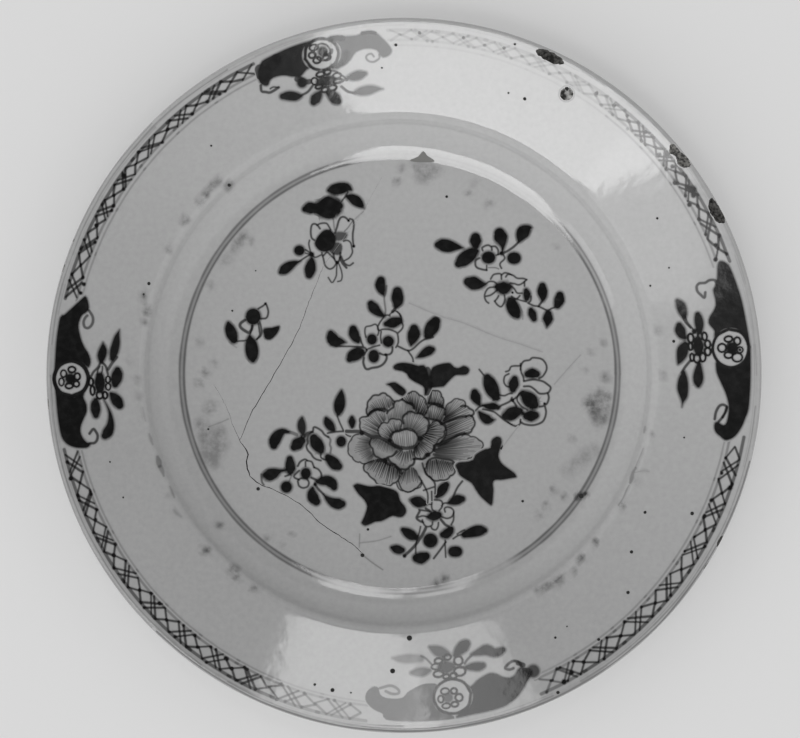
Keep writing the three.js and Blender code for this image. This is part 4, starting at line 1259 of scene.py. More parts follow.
petals = [
    petal([(-9.4, -13.4), (-7.6, -12.2), (-5.6, -12.4), (-3, -11.4), (-1, -9.7)],
          [(-9.8, -14), (-10.1, -11.8), (-9.6, -9.6), (-8.5, -7.9), (-6.3, -7.2), (-4.8, -6.8),
           (-3.5, -7.2), (-2.2, -8.7), (-1.3, -9.2)], edge=0.65),
    petal([(-6.4, -20.7), (-6.1, -17.7), (-3.9, -15)],
          [(-11.8, -19.4), (-12.3, -16.9), (-12.2, -15), (-9.9, -14), (-8.6, -12.8), (-7.4, -12.2),
           (-4.4, -12.6)], wash=0.28, reach=0.75),
    petal([(-2.9, -22.3), (-2.3, -20.3), (-0.6, -19), (1.2, -18.5)],
          [(-5.9, -20.6), (-6.3, -17.9), (-4.9, -16.5), (-3.5, -16.3), (-2.4, -15.3), (-0.2, -15.1),
           (0.9, -16), (1, -17.4)], edge=0.5),
    petal([(-3.3, -15.4), (-0.9, -15), (1, -15.4), (2.4, -14), (4.4, -13)],
          [(-3.7, -13), (-1.9, -11.6), (-0.8, -9.6), (0.8, -8.9), (2.4, -9.6), (4.4, -10.3), (5.1, -11.6)],
          edge=0.7, wash=0.3, hatch=0.4),
    petal([(3.4, -9.9), (5, -11.3), (6, -13), (7.8, -13.6), (9, -13.8)],
          [(1.1, -8.5), (2.7, -7.1), (4.6, -6.2), (6.4, -6.8), (8.3, -8.4), (9.2, -10), (9.3, -13)],
          wash=0.62, hatch=0.8, reach=0.95),
    petal([(9.7, -10.4), (11, -10.2), (12.7, -10.7), (14.4, -11.3)],
          [(9.4, -7.1), (10.9, -5.9), (12.3, -5.8), (13.4, -6.4), (14.4, -8.1), (14.6, -10.6)],
          wash=0.6, hatch=0.6, reach=0.85),
    petal([(9.8, -14.6), (11, -15.3), (12.7, -15.6), (14, -16)],
          [(9.7, -11.2), (11.3, -10.5), (13.3, -11), (14.8, -11.8), (15.1, -13.6)],
          wash=0.5, hatch=0.6, reach=0.95),
    petal([(15.3, -13.4), (15.3, -14), (15.2, -14.8)],
          [(15.3, -11.8), (16.6, -10), (18.6, -8.7), (20.4, -8.7), (21.5, -9.6), (21.9, -11)],
          edge=0.5, wash=0.3, hatch=0.4, reach=0.9),
    petal([(14.8, -14.8), (14.6, -15.6), (14.4, -16.3)],
          [(20.5, -10.7), (22.3, -11.1), (23.6, -11.8), (24.4, -12.9), (23.9, -14.1)], edge=0.7, wash=0.35,
          hatch=0.6, reach=0.85),
    petal([(15.4, -17), (15.7, -19.2), (15, -21.4), (13.6, -22.9)],
          [(22, -14.2), (23.5, -14.1), (24.7, -15.2), (24.6, -17), (23.9, -18.6), (22.9, -19.4),
           (21.6, -19.7)], edge=0.65, wash=0.4, hatch=0.6, reach=0.85),
    petal([(12.9, -23.6), (11.7, -25.6), (11.5, -27)],
          [(20.8, -20.2), (23.1, -20.5), (24.9, -21.1), (26.8, -22.2), (27.5, -23.7), (27.1, -25),
           (24.9, -26.6), (22, -28.4), (20, -28.5)], edge=0.5, wash=0.42, hatch=0.5, reach=0.75),
    petal([(9.1, -30.6), (9.6, -28.8), (12, -28.2), (15, -28.6), (17.8, -29.3)],
          [(8.5, -31.2), (9.4, -32.9), (10.9, -34.3), (12.7, -34.9), (14.9, -34.7), (16.8, -33.8),
           (18.1, -32.4), (18.5, -30.6)], edge=0.65, wash=0.45, hatch=0.7, reach=0.7),
    petal([(0.4, -25.4), (2.4, -25.5), (4.5, -25)],
          [(-3.3, -28), (-1, -29.9), (0.9, -31.3), (3, -30.9), (4.6, -29.7), (5.4, -28)],
          edge=0.8, wash=0.35, hatch=0.65, reach=0.6),
    petal([(-8.2, -21.4), (-5.6, -21.6), (-3.3, -22.6), (-0.9, -24.3)],
          [(-8.9, -21.4), (-8.9, -23.4), (-8, -25.4), (-6.9, -27.3), (-4.8, -27.8), (-2.4, -27),
           (-0.4, -25.4)], edge=0.7, wash=0.5, hatch=0.4, reach=0.5),
    petal([(-9.4, -21.4), (-9.2, -24), (-8, -27)],
          [(-12.9, -19.8), (-14.8, -21.1), (-15.9, -23.2), (-16.2, -25.2), (-15.2, -27.2), (-13.6, -28.6),
           (-11.6, -29.3), (-9.3, -29)], edge=0.5, wash=0.35, hatch=0.5, reach=0.55),
    petal([(-8.8, -28.6), (-6.4, -28), (-4.2, -28.8), (-1.4, -30.4), (0.6, -32)],
          [(-11.1, -29.6), (-10.8, -31.6), (-9.6, -32.9), (-8.2, -34.2), (-6.6, -35.9), (-4.6, -36.4),
           (-2.4, -36.4), (-0.6, -35.2), (0.6, -33.6)], edge=0.6, wash=0.5, hatch=0.75, reach=0.7),
    petal([(1.4, -32.3), (3, -31.3), (4.7, -30.6), (6, -31.9)],
          [(-0.6, -36), (1, -38), (3.1, -38.6), (5, -37.9), (7, -37), (7.7, -35)],
          edge=0.45, wash=0.4, hatch=0.55, reach=0.6),
    petal([(1.6, -18.2), (3.7, -18.1), (5.7, -19), (7.2, -20.4)],
          [(1.6, -16.4), (1.9, -14.1), (3.2, -12.9), (5.2, -13), (7.5, -13.6), (9.2, -14.9), (9.9, -16.8),
           (9.3, -18.8), (8.2, -20.4)], edge=0.7, wash=0.3, hatch=0.5, reach=0.8),
    petal([(8, -21.2), (9.3, -19.2), (10.2, -17.2)],
          [(11.6, -23.8), (12.6, -22.2), (14, -21), (15.1, -19.4), (14.9, -17.6), (13, -16), (11.2, -15.9)],
          edge=0.5, wash=0.5, hatch=0.7, reach=0.8),
    petal([(7.5, -22.2), (6, -23.6), (5.2, -24.6)],
          [(12, -23.9), (10.8, -25.6), (9.4, -26.9), (7.7, -28), (5.9, -27.3), (5, -25.8)],
          edge=0.6, wash=0.5, hatch=0.7, reach=0.75),
    petal([(-1.6, -23), (0.6, -24), (3, -24.1), (5.3, -23.5), (6.6, -22)],
          [(-2.2, -20.9), (-0.9, -19.4), (1.2, -18.9), (3.1, -18.6), (5.2, -19.4), (6.5, -20.9)],
          edge=0.3, wash=0.12, hatch=0.42, reach=1),
]
peony += [stroke for strokes in petals for stroke in strokes]

peony_leaves = [
    patch((-4.1, -3.7), (-2.4, -3), (-0.8, -2.9), (0.9, -4), (2.3, -5.1), (2.8, -6.3), (2.2, -7.2),
          (1.4, -7.7), (0.1, -7.2), (-1.2, -6.2), (-2.4, -4.8), (-3.2, -4.2)),
    patch((-1.8, 2), (-0.4, 3.2), (2, 3.5), (4.6, 3.1), (6.6, 2.5), (8.4, 2.7), (9.4, 1.4), (10, -0.5),
          (10.6, -2.2), (10.2, -4.6), (9, -7.4), (8.4, -7.2), (8.3, -5), (7.1, -4), (5.3, -3.1),
          (3.4, -1.8), (2.7, -0.5), (1.2, 0.4), (-1, 0.8)),
    patch((10.5, 1), (11.6, 2.3), (13.8, 3.1), (15.7, 3.4), (17.1, 3.3), (18.3, 2.1), (19.7, 1.8),
          (21.2, 2.5), (22.7, 2), (23.4, 0.9), (22.7, -0.5), (21.2, -0.9), (19, -0.9), (17.9, -1.6),
          (16, -3.5), (14.9, -4.6), (13.1, -4.8), (11.2, -5), (10.1, -5.1), (10.2, -2), ink=0.985),
    line(1.6, (9.6, 1.2), (10.2, -1.5), (10.4, -4.2), (9.4, -6.6)),
    patch((-14.6, -36.5), (-13.3, -35.8), (-11.1, -36.3), (-8.9, -36.7), (-6.3, -36.5), (-3.7, -37.1),
          (-1.4, -37.8), (0.1, -38.9), (0.9, -41.5), (2, -42.8), (2.7, -44.1), (2.7, -45.6), (1.6, -46.9),
          (0.1, -47.1), (-1.8, -46.7), (-3.7, -47.6), (-5.5, -48.4), (-7.4, -48.6), (-8.9, -49.3),
          (-10.7, -49.9), (-11.8, -49.3), (-12.1, -48.6), (-11.4, -47.1), (-10.7, -45.2), (-10.3, -43.4),
          (-11.1, -41.5), (-12.6, -40), (-13.7, -38.6), (-14.6, -37.1)),
    patch((29.9, -24.2), (30.1, -22.2), (30.9, -21.1), (32.1, -20.5), (33.4, -20.9), (33.9, -22.2),
          (33.6, -24), (32.9, -26.3), (33, -27.7), (33.8, -29.2), (35.3, -30.5), (36.9, -31.6),
          (38.1, -32.6), (38.7, -33.7), (38.3, -34.2), (37, -34.4), (35.3, -34.7), (33.4, -35),
          (31.6, -35), (31, -36), (31.2, -37.8), (31.1, -39.7), (30.9, -42.3), (30.4, -43.2), (29.7, -43),
          (27.9, -41.5), (26.4, -40), (24.9, -37.8), (23.8, -36), (22, -34.9), (20.5, -33.9), (19.6, -33),
          (19, -31.4), (18.4, -30), (19.7, -28.9), (22, -28.7), (24.2, -28.1), (24.9, -26.6),
          (26.4, -25.5), (28.3, -24.6), ink=0.985),
]


painted_sheet("peony_flower", on_well(peony), lift=flower_lift)
painted_sheet("peony_leaves", on_well(peony_leaves), lift=upper_lift)


# Cartouches. Four lobed lappets hang from the border at the right, top, left and bottom, each a dark
# ground left open round a bud, with a flower head and leaves under it. Points are (degrees from the right,
# radius) from the rim's centre.
def loop(turn, radius, across, up, width=0.65, ink=0.985):
    """A closed ring drawn round a place on the border. Across is in degrees and up in millimetres."""
    around_it = []
    for a in range(0, 361, 45):
        bend = math.radians(a)
        around_it.append((turn + across / 2 * math.cos(bend), radius + up / 2 * math.sin(bend)))
    return line(width, *around_it, ink=ink)


cartouches = {}
cartouches["right_cartouche"] = [
    patch((4.6, 111.8), (8, 111.5), (13, 111.3), (18.1, 110.6), (19.5, 109.5), (20, 108), (19.5, 106.8),
          (18.1, 105.8), (17, 105), (16, 103.8), (15.4, 103), (13.8, 102.9), (12.7, 102.6), (11.8, 101.5),
          (10.9, 100), (9.8, 99.3), (8.9, 100), (8.1, 100.8), (7, 100.4), (7.4, 101.6), (8, 103.4),
          (8.2, 105.5), (7.9, 107.8), (7.1, 109.6), (6, 110.8), (4.8, 111.2), ink=0.985),
    patch((4.8, 111.8), (1, 111.6), (-2.6, 111.5), (-5.6, 111.4), (-7, 110.8), (-8.5, 110.1), (-9.9, 109),
          (-10.8, 107.8), (-11.3, 106.5), (-11.5, 105.2), (-11, 103.5), (-10.5, 102), (-9.7, 101.1),
          (-8.7, 101), (-8.3, 102), (-8.7, 103.5), (-8.6, 104.4), (-7.6, 104.8), (-5.9, 104.8),
          (-4.7, 104.4), (-3.3, 103.5), (-1.9, 102.3), (-0.1, 100.8), (1, 100.3), (2.6, 100.4),
          (1.9, 101.9), (1.4, 104), (1.3, 106.2), (1.8, 108.4), (2.8, 110.2), (4.2, 111.1)),
    loop(4.75, 105.4, 6.7, 11.3, 0.9),
    dot(4.8, 106, 3.9),
    line(1.2, (5.6, 105), (4.4, 104.6), (3.9, 106.6)),
    loop(3.1, 107.3, 1.5, 3.2, 0.6),
    loop(3.6, 104.6, 1.1, 2.6),
    loop(4.95, 102.7, 1.5, 2.6),
    loop(6.4, 105, 1, 2.5),
    loop(5.9, 107.7, 1.3, 2),
    loop(4.35, 108.3, 1, 1.9, 0.5),
    dot(4.35, 108.3, 0.9),
    line(0.8, (16.1, 104.8), (17, 104.5), (17.3, 103), (17.1, 101.5), (17.2, 100.5), (17.3, 99.5),
         (16.9, 98.5), (16, 98.3), (15.2, 99), (14.5, 99.9), (15.4, 100.6)),
    line(0.8, (-8.3, 102.4), (-7.7, 103.1), (-6.6, 104), (-5.6, 104.3), (-5.25, 103.1), (-5.6, 101.9),
         (-6.7, 101.1), (-8, 101)),
    line(0.8, (-5.6, 104.3), (-6.6, 104), (-7.5, 103.4)),
    leaf((7, 95.4, 2.6), (5.7, 95.3, 4), (4.5, 95.2, 2.8)),
    loop(7.4, 97.6, 1.5, 1.5),
    loop(7.6, 96.2, 1.4, 1.4),
    loop(5.9, 98.3, 1.4, 1.7),
    loop(4.5, 98.1, 1.5, 1.8, 0.7),
    loop(3.5, 96.4, 1.7, 1.8),
    loop(3.3, 94.6, 1.7, 2),
    loop(3.6, 93, 1.5, 1.2),
    loop(5.8, 92.8, 1.5, 1.2),
    loop(7.4, 93.2, 1.8, 1.8, 0.7),
    dot(8.6, 94.6, 1.8),
    leaf((11.7, 96.6, 2.2), (10.8, 96.6, 3.2), (9.6, 96.5, 3.2), (8.4, 96.2, 2.2)),
    leaf((15.2, 91.4, 1.8), (14.2, 92, 3.4), (12.8, 92.2, 3.2), (11.6, 92.4, 1.4)),
    line(0.6, (12, 92.6), (10.6, 92.9), (9.2, 94.2)),
    line(0.5, (12.2, 91.6), (10.8, 92.2), (9.4, 93.6)),
    leaf((10.3, 90.2, 2.4), (9.4, 90.2, 3.8), (8.3, 90.6, 3.2), (7.6, 91.4, 1.6)),
    leaf((6.2, 91.2, 2.6), (5.4, 90.4, 4), (4.2, 89.8, 3.8), (2.9, 88.9, 2), (2.3, 88.4, 0.6)),
    leaf((2.6, 95.2, 1.4), (1, 94.9, 3), (-0.4, 94.8, 3.8), (-1.4, 94.8, 3.2), (-2, 94.9, 1.8)),
    leaf((0.6, 90.2, 1.6), (-0.8, 90, 3.4), (-2.6, 90, 4), (-4.2, 90.4, 3), (-5.4, 90.3, 1.2),
         (-6.5, 90.2, 0.4)),
    line(0.8, (3, 92.5), (1.8, 90.8), (0.6, 89.6)),
]

cartouches["top_cartouche"] = [
    patch((104.2, 111.8), (108.5, 111.8), (112, 111.4), (114.3, 111), (115, 109.8), (115.7, 108.5),
          (116.1, 107), (116.3, 105.5), (116.1, 104), (115.4, 102.9), (114.8, 103.2), (114.4, 104),
          (113.6, 104.4), (112.4, 104.1), (111.5, 103.5), (110.7, 102.6), (109.8, 102), (109.1, 101.6),
          (107.7, 103), (107, 103.4), (107.5, 104.8), (107.7, 106.8), (107.4, 108.8), (106.7, 110.2),
          (105.6, 111.1), (104.2, 111.3), ink=0.985),
    line(3.4, (115.2, 108.6), (115.3, 106), (113.6, 107.6), (112, 109.6)),
    patch((102.6, 110.9), (100.9, 111.2), (99.8, 110.8), (98.1, 110.5), (95.8, 111.2), (94.6, 110.5),
          (93.5, 108.5), (92.6, 106.5), (92.1, 105), (92.2, 103.8), (92.8, 102.8), (93.8, 102.4),
          (94.4, 103.5), (94.8, 104.8), (95.8, 105.5), (97.2, 105.6), (98.4, 105), (99.1, 103.8),
          (99.8, 102.5), (100.9, 101.5), (102.4, 101), (102.7, 102), (101.6, 103.6), (101, 106.6),
          (101.4, 108.8), ink=0.88, soft=0.7),
    line(1.8, (102.4, 110.6), (101.4, 110.6), (100.4, 110.2), ink=0.995, soft=0.6),
    line(1, (97, 110.8), (95.8, 110.9), (94.8, 110.4), ink=0.995, soft=0.5),
    line(1.7, (103, 101.8), (101.8, 102), (100.6, 103), (100.1, 105.2), ink=0.9, soft=1.2),
    line(0.6, (94.4, 103.5), (94.5, 102.3), (95.5, 101.4), (96.4, 101.8), (96.8, 102.9), (96.5, 103.8),
         (95.8, 104), (95.4, 103.1), ink=0.7),
    line(0.8, (116.3, 104), (116.6, 102.3), (116, 101.5), (115.4, 100.8), (114.6, 100.8), (113.5, 101.1)),
    line(0.45, (115, 101.8), (114.4, 101.9), (113.6, 101.2)),
    loop(104.4, 106.6, 5.9, 9.9, 0.9),
    dot(104.1, 107.3, 3.4),
    line(0.9, (103.4, 105.9), (102.7, 106.4), (102.5, 107.2)),
    loop(105.4, 109.3, 1.5, 1.8, 0.5),
    loop(106, 107.1, 1.2, 1.8),
    loop(105.4, 105.2, 1.4, 1.9),
    loop(103.7, 105.2, 1.5, 1.6),
    loop(104.2, 107.2, 2.8, 5.4, 0.45),
    dot(109.2, 99.8, 3.6),
    line(1.6, (109.9, 101.4), (109.2, 101), (108.4, 99.6), (107.8, 99.4)),
    leaf((106, 98.2, 2.8), (104.8, 98.1, 3.6), (103.7, 98.1, 2.6)),
    loop(105.5, 100.6, 1.6, 1.5),
    loop(104.2, 100.7, 1.3, 1.4),
    loop(106.9, 99, 1.2, 2.2, 0.5),
    loop(106.4, 97, 1.4, 1.3),
    loop(105.4, 95.5, 1.5, 1.5),
    loop(104, 95.5, 1.7, 1.7),
    loop(102.7, 97.2, 1.9, 1.2),
    loop(102.6, 98.9, 1.6, 1.7, 0.45),
    line(0.6, (103.6, 101), (102.6, 100.2), (101.8, 98.8), (101.2, 97.6), (102, 96.6), (103, 96.6)),
    dot(101, 97.2, 1.3),
    leaf((113.5, 98, 2.4), (112.4, 97.4, 3.4), (111.2, 96.4, 3.2), (110.3, 96, 1.6)),
    line(0.7, (110, 96.1), (108.7, 96.5), (107.5, 97.8)),
    leaf((108.3, 92.8, 2.6), (107.7, 93.6, 3.8), (106.8, 94.6, 2.6), (106.3, 95.3, 1.2)),
    leaf((104.9, 94.2, 2.4), (104.4, 93.2, 3.6), (103.9, 91.8, 4), (103.5, 91, 2.6)),
    leaf((100.7, 97.6, 1.4), (99.6, 97.6, 3), (98.4, 97.8, 3.2), (97.3, 98, 1.6)),
    leaf((99.8, 92.6, 1.4), (98.6, 92.6, 3), (97, 92.7, 3.4), (95.6, 92.8, 2.2), (94.2, 92.6, 0.6),
         ink=0.92),
    line(0.8, (102.2, 95.2), (101.2, 93.3), (99.8, 92.3), ink=0.95),
]

cartouches["left_cartouche"] = [
    patch((180.4, 112.6), (183.8, 112.2), (186.6, 112.2), (189.5, 112.1), (190.9, 111.5), (191.8, 110.2),
          (192.4, 108.5), (192.7, 107), (192.95, 104.8), (192.7, 103.5), (192.2, 103.2), (191.8, 104.2),
          (190.9, 105.1), (189.8, 105.4), (188.7, 104.8), (187.5, 103.5), (186.6, 102.6), (185.2, 102.4),
          (183.8, 103.2), (182.6, 102.4), (183.2, 103.8), (183.7, 106.6), (183.4, 108.8), (182.6, 110.8),
          (181.2, 112)),
    patch((180.2, 112.6), (178.1, 112.4), (174, 112.4), (170.4, 112.2), (169.8, 111), (168.4, 109),
          (167, 107.2), (165.9, 105.6), (166.7, 104.3), (167.8, 103.5), (168.4, 103.6), (169, 104.3),
          (169.5, 105.2), (170.7, 105.7), (171.8, 105.5), (173.6, 104.3), (175, 102.9), (175.8, 101.8),
          (177, 100.9), (178.1, 100.9), (178.7, 101.8), (177.9, 103.4), (177.4, 106), (177.5, 108.6),
          (178.3, 110.8), (179.6, 112)),
    loop(180.55, 107, 6.1, 10.8, 1.25, ink=0.985),
    dot(180.55, 107.3, 3.6),
    loop(181.1, 110.1, 1.3, 1.6, 0.5),
    loop(179.7, 109.4, 1.2, 1.8, 0.5),
    loop(181.8, 107.7, 0.9, 2.3),
    loop(181.5, 105.4, 1, 1.8),
    loop(180.2, 105.1, 1.2, 1.8),
    loop(179, 106.8, 1, 2.3),
    line(0.8, (192.2, 103.5), (192.3, 102), (191.9, 101), (191.1, 100.5), (190.4, 100.8), (189.8, 101.4),
         (190.1, 102.2), (190.5, 102.9)),
    line(0.8, (168.4, 103.4), (169.3, 102), (170.3, 101.6), (171.1, 102.1), (171.5, 103), (171.3, 104),
         (170.5, 104.5), (169.7, 104.2), (169.3, 103.7), ink=0.75),
    leaf((182.6, 98, 3), (181.4, 98, 3.9), (180.2, 98, 3)),
    loop(183.7, 98.2, 1.4, 2),
    loop(183.8, 96.5, 1.3, 1.4),
    loop(182.8, 100.4, 1.7, 1.3),
    loop(181.2, 100.8, 1.4, 1.4),
    loop(182.2, 95.4, 1.3, 1.5, 0.5),
    loop(180.8, 95.4, 1.3, 1.3, 0.5),
    line(0.7, (180.3, 100.8), (179.4, 100), (178.5, 98.6), (177.6, 97.7), (178.2, 96.2), (179.8, 95.4)),
    line(0.45, (179.9, 98.9), (179, 98.6), (178.3, 98)),
    line(0.45, (179.9, 97.6), (179, 97.2), (178.3, 97.2)),
    leaf((191.4, 98.2, 2.8), (190.9, 97.2, 3.8), (189.6, 95.9, 2.9), (187.6, 95.5, 1.6),
         (185.8, 96.2, 0.9), (184.4, 97.2, 0.6)),
    leaf((187.4, 100, 2.4), (186.4, 99.9, 3.6), (185.2, 99.8, 3.2), (184.6, 99.6, 2)),
    leaf((186, 92.2, 3), (185.2, 92.8, 4), (184.2, 93.8, 3.2), (183.6, 94.6, 1.6)),
    leaf((181.8, 93.2, 2.6), (180.8, 92.8, 4), (179.6, 92.4, 3.8), (178.9, 92.4, 2.4)),
    leaf((177.3, 97.6, 2), (176.4, 97.6, 3.2), (175.2, 97.3, 3), (173.8, 97.5, 0.8)),
    leaf((176.7, 94.2, 2), (175.4, 93.8, 3.2), (173.6, 93.4, 3), (172.2, 93.3, 2), (170.9, 92.9, 0.5),
         ink=0.985),
    line(0.9, (178.8, 95.3), (177.6, 94.2), (176.4, 92.8), ink=0.8),
]

cartouches["bottom_cartouche"] = [
    patch((278.6, 111.4), (281.5, 111.3), (284.2, 111.4), (286.7, 111.3), (287.8, 110.8), (289.3, 109.8),
          (290.7, 108.2), (291.8, 106.5), (292.6, 105.4), (293.4, 104.6), (293.4, 102.8), (292.4, 101.5),
          (291.8, 101), (291, 101.5), (290.3, 102.5), (289.3, 102.9), (288.1, 101.8), (287.2, 100.3),
          (286.1, 99.6), (284.7, 100), (283.2, 101), (282.1, 102.2), (281.2, 100.8), (281.8, 102.6),
          (282.1, 105), (281.6, 107.4), (280.6, 109), (279.2, 109.9), ink=0.985),
    patch((278.4, 111.4), (275, 111.4), (271, 111.2), (267, 110.8), (266.4, 109), (265, 108),
          (263.8, 106.5), (263.2, 105), (263.2, 103), (263.7, 101.5), (264.6, 100.5), (265.4, 101),
          (265.7, 102.8), (266.7, 103.8), (268.4, 104), (269.9, 103.5), (270.6, 102), (272.1, 100.5),
          (273.5, 99.6), (274.6, 99.5), (276.1, 100), (275.5, 102), (275.2, 104.4), (275.4, 107),
          (276.4, 109), (277.8, 109.9), ink=0.82, soft=0.4),
    dot(293.6, 103.8, 4.4, ink=0.85),
    loop(278.6, 104.4, 6.6, 10.9, 0.8),
    dot(277.8, 104.6, 3.4, ink=0.8),
    loop(278.8, 107, 1.2, 1.6, 0.6),
    loop(277.3, 107.1, 1.4, 1.6, 0.5),
    loop(279.7, 105.1, 1.3, 2.3, 0.6),
    loop(279, 102.8, 1.1, 1.8, 0.6),
    loop(277.4, 102.5, 1.5, 2, 0.5),
    loop(276.5, 104.8, 1, 2.2, 0.5),
    line(0.8, (292, 101), (291.9, 99.5), (291, 98.5), (290, 98.7), (289.1, 99.7), (289.7, 100.6),
         (290.5, 100.6)),
    line(1.4, (292.4, 100.8), (291.6, 99.6)),
    line(0.8, (265.6, 101), (267.3, 100), (268.4, 100.4), (269.1, 101.5), (268.9, 102.4), (267.8, 102.5),
         (266.7, 101.8), ink=0.65),
    leaf((279.2, 95, 3), (278.3, 95, 4.2), (277.2, 95, 2.8), ink=0.92),
    loop(280.7, 97, 2.2, 2.8, 0.65),
    loop(280.8, 93.6, 1.7, 2.8, 0.65),
    line(0.5, (281.8, 96.2), (280.6, 95.8), (279.6, 95.4)),
    loop(279.4, 98, 1.3, 1.7),
    loop(278, 97.9, 1.2, 1.4, 0.65),
    loop(276.6, 96.8, 1.9, 2),
    loop(276.3, 94.4, 1.8, 1.8, 0.5),
    loop(276.9, 92.7, 1.6, 1.7),
    loop(278.8, 91.9, 1.4, 1.7, 0.6),
    line(0.45, (278.2, 93.4), (277.8, 91.6)),
    leaf((285.2, 96.8, 2.4), (284.4, 96.8, 3.2), (283.2, 96.4, 2.8), (282, 96.2, 1.6)),
    leaf((289.8, 94, 2.2), (289, 94.2, 3), (288, 94, 3.2), (286.8, 92.4, 3.8), (285.4, 92.4, 2.8),
         (283.6, 92.6, 1.2)),
    line(0.7, (283.6, 92.8), (282.6, 93.8), (281.9, 94.8)),
    leaf((283.1, 88.8, 3), (282.4, 89.4, 4.2), (281.2, 90.6, 3.4), (280.2, 91.6, 1.4)),
    leaf((279, 90.9, 1.8), (278, 90.3, 3.4), (276.8, 89.4, 3.6), (275.4, 88, 1.2), ink=0.85),
    leaf((275, 95.4, 1.4), (273.8, 95.7, 3), (272.6, 95.8, 3), (271.5, 95.8, 1.6), ink=0.84),
    leaf((273.4, 91.4, 2.4), (271.8, 91.4, 3), (270.2, 91.4, 3), (268.8, 91.4, 2.2), (267.7, 91.2, 0.8),
         ink=0.62),
    line(0.6, (275.4, 93.4), (274.4, 91.5), (273.5, 90.7), ink=0.7),
]


for name, strokes in cartouches.items():
    painted_sheet(name, on_rim(strokes), lift=upper_lift)


# Border. Two brushed lines and a finer one run round between the cartouches, with a lattice between the
# outer two. The circles were drawn a little off the rim's centre. Where the lamps are mirrored in the
# border, at the top and the bottom, its ink is made weaker as a painted highlight.
outer_line = ((-0.35, -0.3), 111.3)
inner_line = ((-0.5, 0.6), 107.3)
thin_line = ((-0.6, 0.3), 105.9)
border_lines = [(outer_line, 0.95, 0.72), (inner_line, 0.7, 0.45), (thin_line, 0.5, 0.32)]
# Turns that one piece of a line spans and laps over the next, and how unevenly the lattice was drawn
border_piece = 8
piece_overlap = 0.2
turn_wander = 0.03
height_wander = 0.05
blot_chance = 0.4
lattice_strokes = [
    ((0, 0.5), (0.23, 1)),
    ((0, 0.5), (0.25, 0.05)),
    ((0.23, 1), (0.62, 0)),
    ((0.25, 0.05), (0.6, 1)),
    ((0.36, 1), (0.75, 0)),
    ((0.38, 0), (0.75, 1)),
    ((0.75, 1), (1, 0.5)),
    ((0.75, 0), (1, 0.5)),
]


def circle_at(circle, turn):
    """The radius about the rim's centre of an off-centre circle at that turn."""
    (x, y), radius = circle
    return radius + x * math.cos(math.radians(turn)) + y * math.sin(math.radians(turn))


def border_arc(start, stop, knots, glare_fade):
    """One stretch of border. The knots are where two diamonds of the lattice touch, in degrees, and
    glare_fade gives the share of ink left as (degrees, share) pairs: a painted highlight where the lamps'
    glare falls."""
    def left(turn):
        return float(np.interp(turn, [w[0] for w in glare_fade], [w[1] for w in glare_fade]))

    strokes = []
    cuts = np.linspace(start, stop, max(2, round((stop - start) / border_piece)) + 1)
    for a, b in zip(cuts, cuts[1:]):
        places_here = [a - piece_overlap, (a + b) / 2, b + piece_overlap]
        share = left((a + b) / 2)
        for circle, width, ink in border_lines:
            points = [(turn, circle_at(circle, turn)) for turn in places_here]
            strokes.append(line(width, *points, ink=ink * share))
    whole = [2 * knots[0] - knots[1], *knots, 2 * knots[-1] - knots[-2]]
    for low, high in zip(whole, whole[1:]):
        for one, other in lattice_strokes:
            ends = []
            for along_it, up in (one, other):
                turn = high + (low - high) * (along_it + chance.uniform(-turn_wander, turn_wander))
                height = up + chance.uniform(-height_wander, height_wander)
                inner = circle_at(inner_line, turn)
                ends.append((turn, inner + (circle_at(outer_line, turn) - inner) * height))
            middle = (ends[0][0] + ends[1][0]) / 2
            if start < ends[0][0] < stop and start < ends[1][0] < stop:
                share = left(middle)
                width = chance.uniform(0.5, 0.75)
                strokes.append(line(width, *ends, ink=line_ink * share))
                if chance.random() < blot_chance:
                    strokes.append(dot(*ends[1], chance.uniform(0.9, 1.3), ink=0.9 * share))
    return strokes


# Each arc's last list is its painted highlight: the share of ink left where the lamps' glare falls on it
border_arcs = {
    "upper_right_border": border_arc(
        19.5, 92.5, [22.2, 29.9, 36.9, 42.2, 48.6, 55.7, 62.7, 69.6, 76.2, 83.4, 90.6],
        [(20, 1), (46, 1), (51, 0.55), (60, 0.32), (90, 0.3)]) + [
        dot(32.8, 110.3, 2.6), dot(31.9, 109.6, 1.8), dot(33.6, 109.5, 1.6), dot(30.9, 106.9, 1.5),
        dot(35.4, 106.9, 1.5), dot(37.9, 109.3, 1.4), dot(40, 110.4, 1.7), dot(40.8, 108.4, 1.5),
        dot(45.2, 110.2, 1.2), dot(47.8, 107, 1, ink=0.5), dot(49.3, 110, 1.1), dot(52.1, 109.9, 1.2),
        dot(55.7, 109.9, 1.1), dot(73, 110, 1), dot(80, 110.2, 1), dot(87.4, 110.2, 1),
        dot(22.7, 108.6, 1.3), dot(20.4, 106.8, 1.3),
    ],
    "upper_left_border": border_arc(
        116, 167, [120.4, 127.4, 134, 141.7, 148.2, 154, 161.2], [(116, 1), (167, 1)]) + [
        dot(144.5, 110.5, 1.6), dot(154, 110.1, 1.2), dot(165.7, 107.3, 1.2), dot(164.1, 107, 1.3),
    ],
    "lower_left_border": border_arc(
        192.5, 263.5, [198.4, 205.2, 211.9, 219.1, 225.8, 232.8, 239.5, 246.4, 254.9, 262.8],
        [(193, 1), (246, 1), (252, 0.7), (263, 0.6)]) + [
        dot(197.2, 112.1, 1.4), dot(223, 107.5, 1.4), dot(231.2, 107.3, 1.3), dot(238, 107.5, 1.4),
    ],
    "lower_right_border": border_arc(
        293.5, 349.5, [295.8, 302.2, 309.7, 317.7, 325, 332.8, 339.8, 347.9],
        [(293, 0.6), (298, 0.8), (301, 1), (349, 1)]) + [
        dot(299.4, 109.6, 1.6), dot(297.6, 111, 1.6), dot(341, 110.8, 1.6), dot(330.4, 111.2, 1.2),
        dot(335, 106.6, 1.1), dot(342.9, 106.9, 1.1),
    ],
}


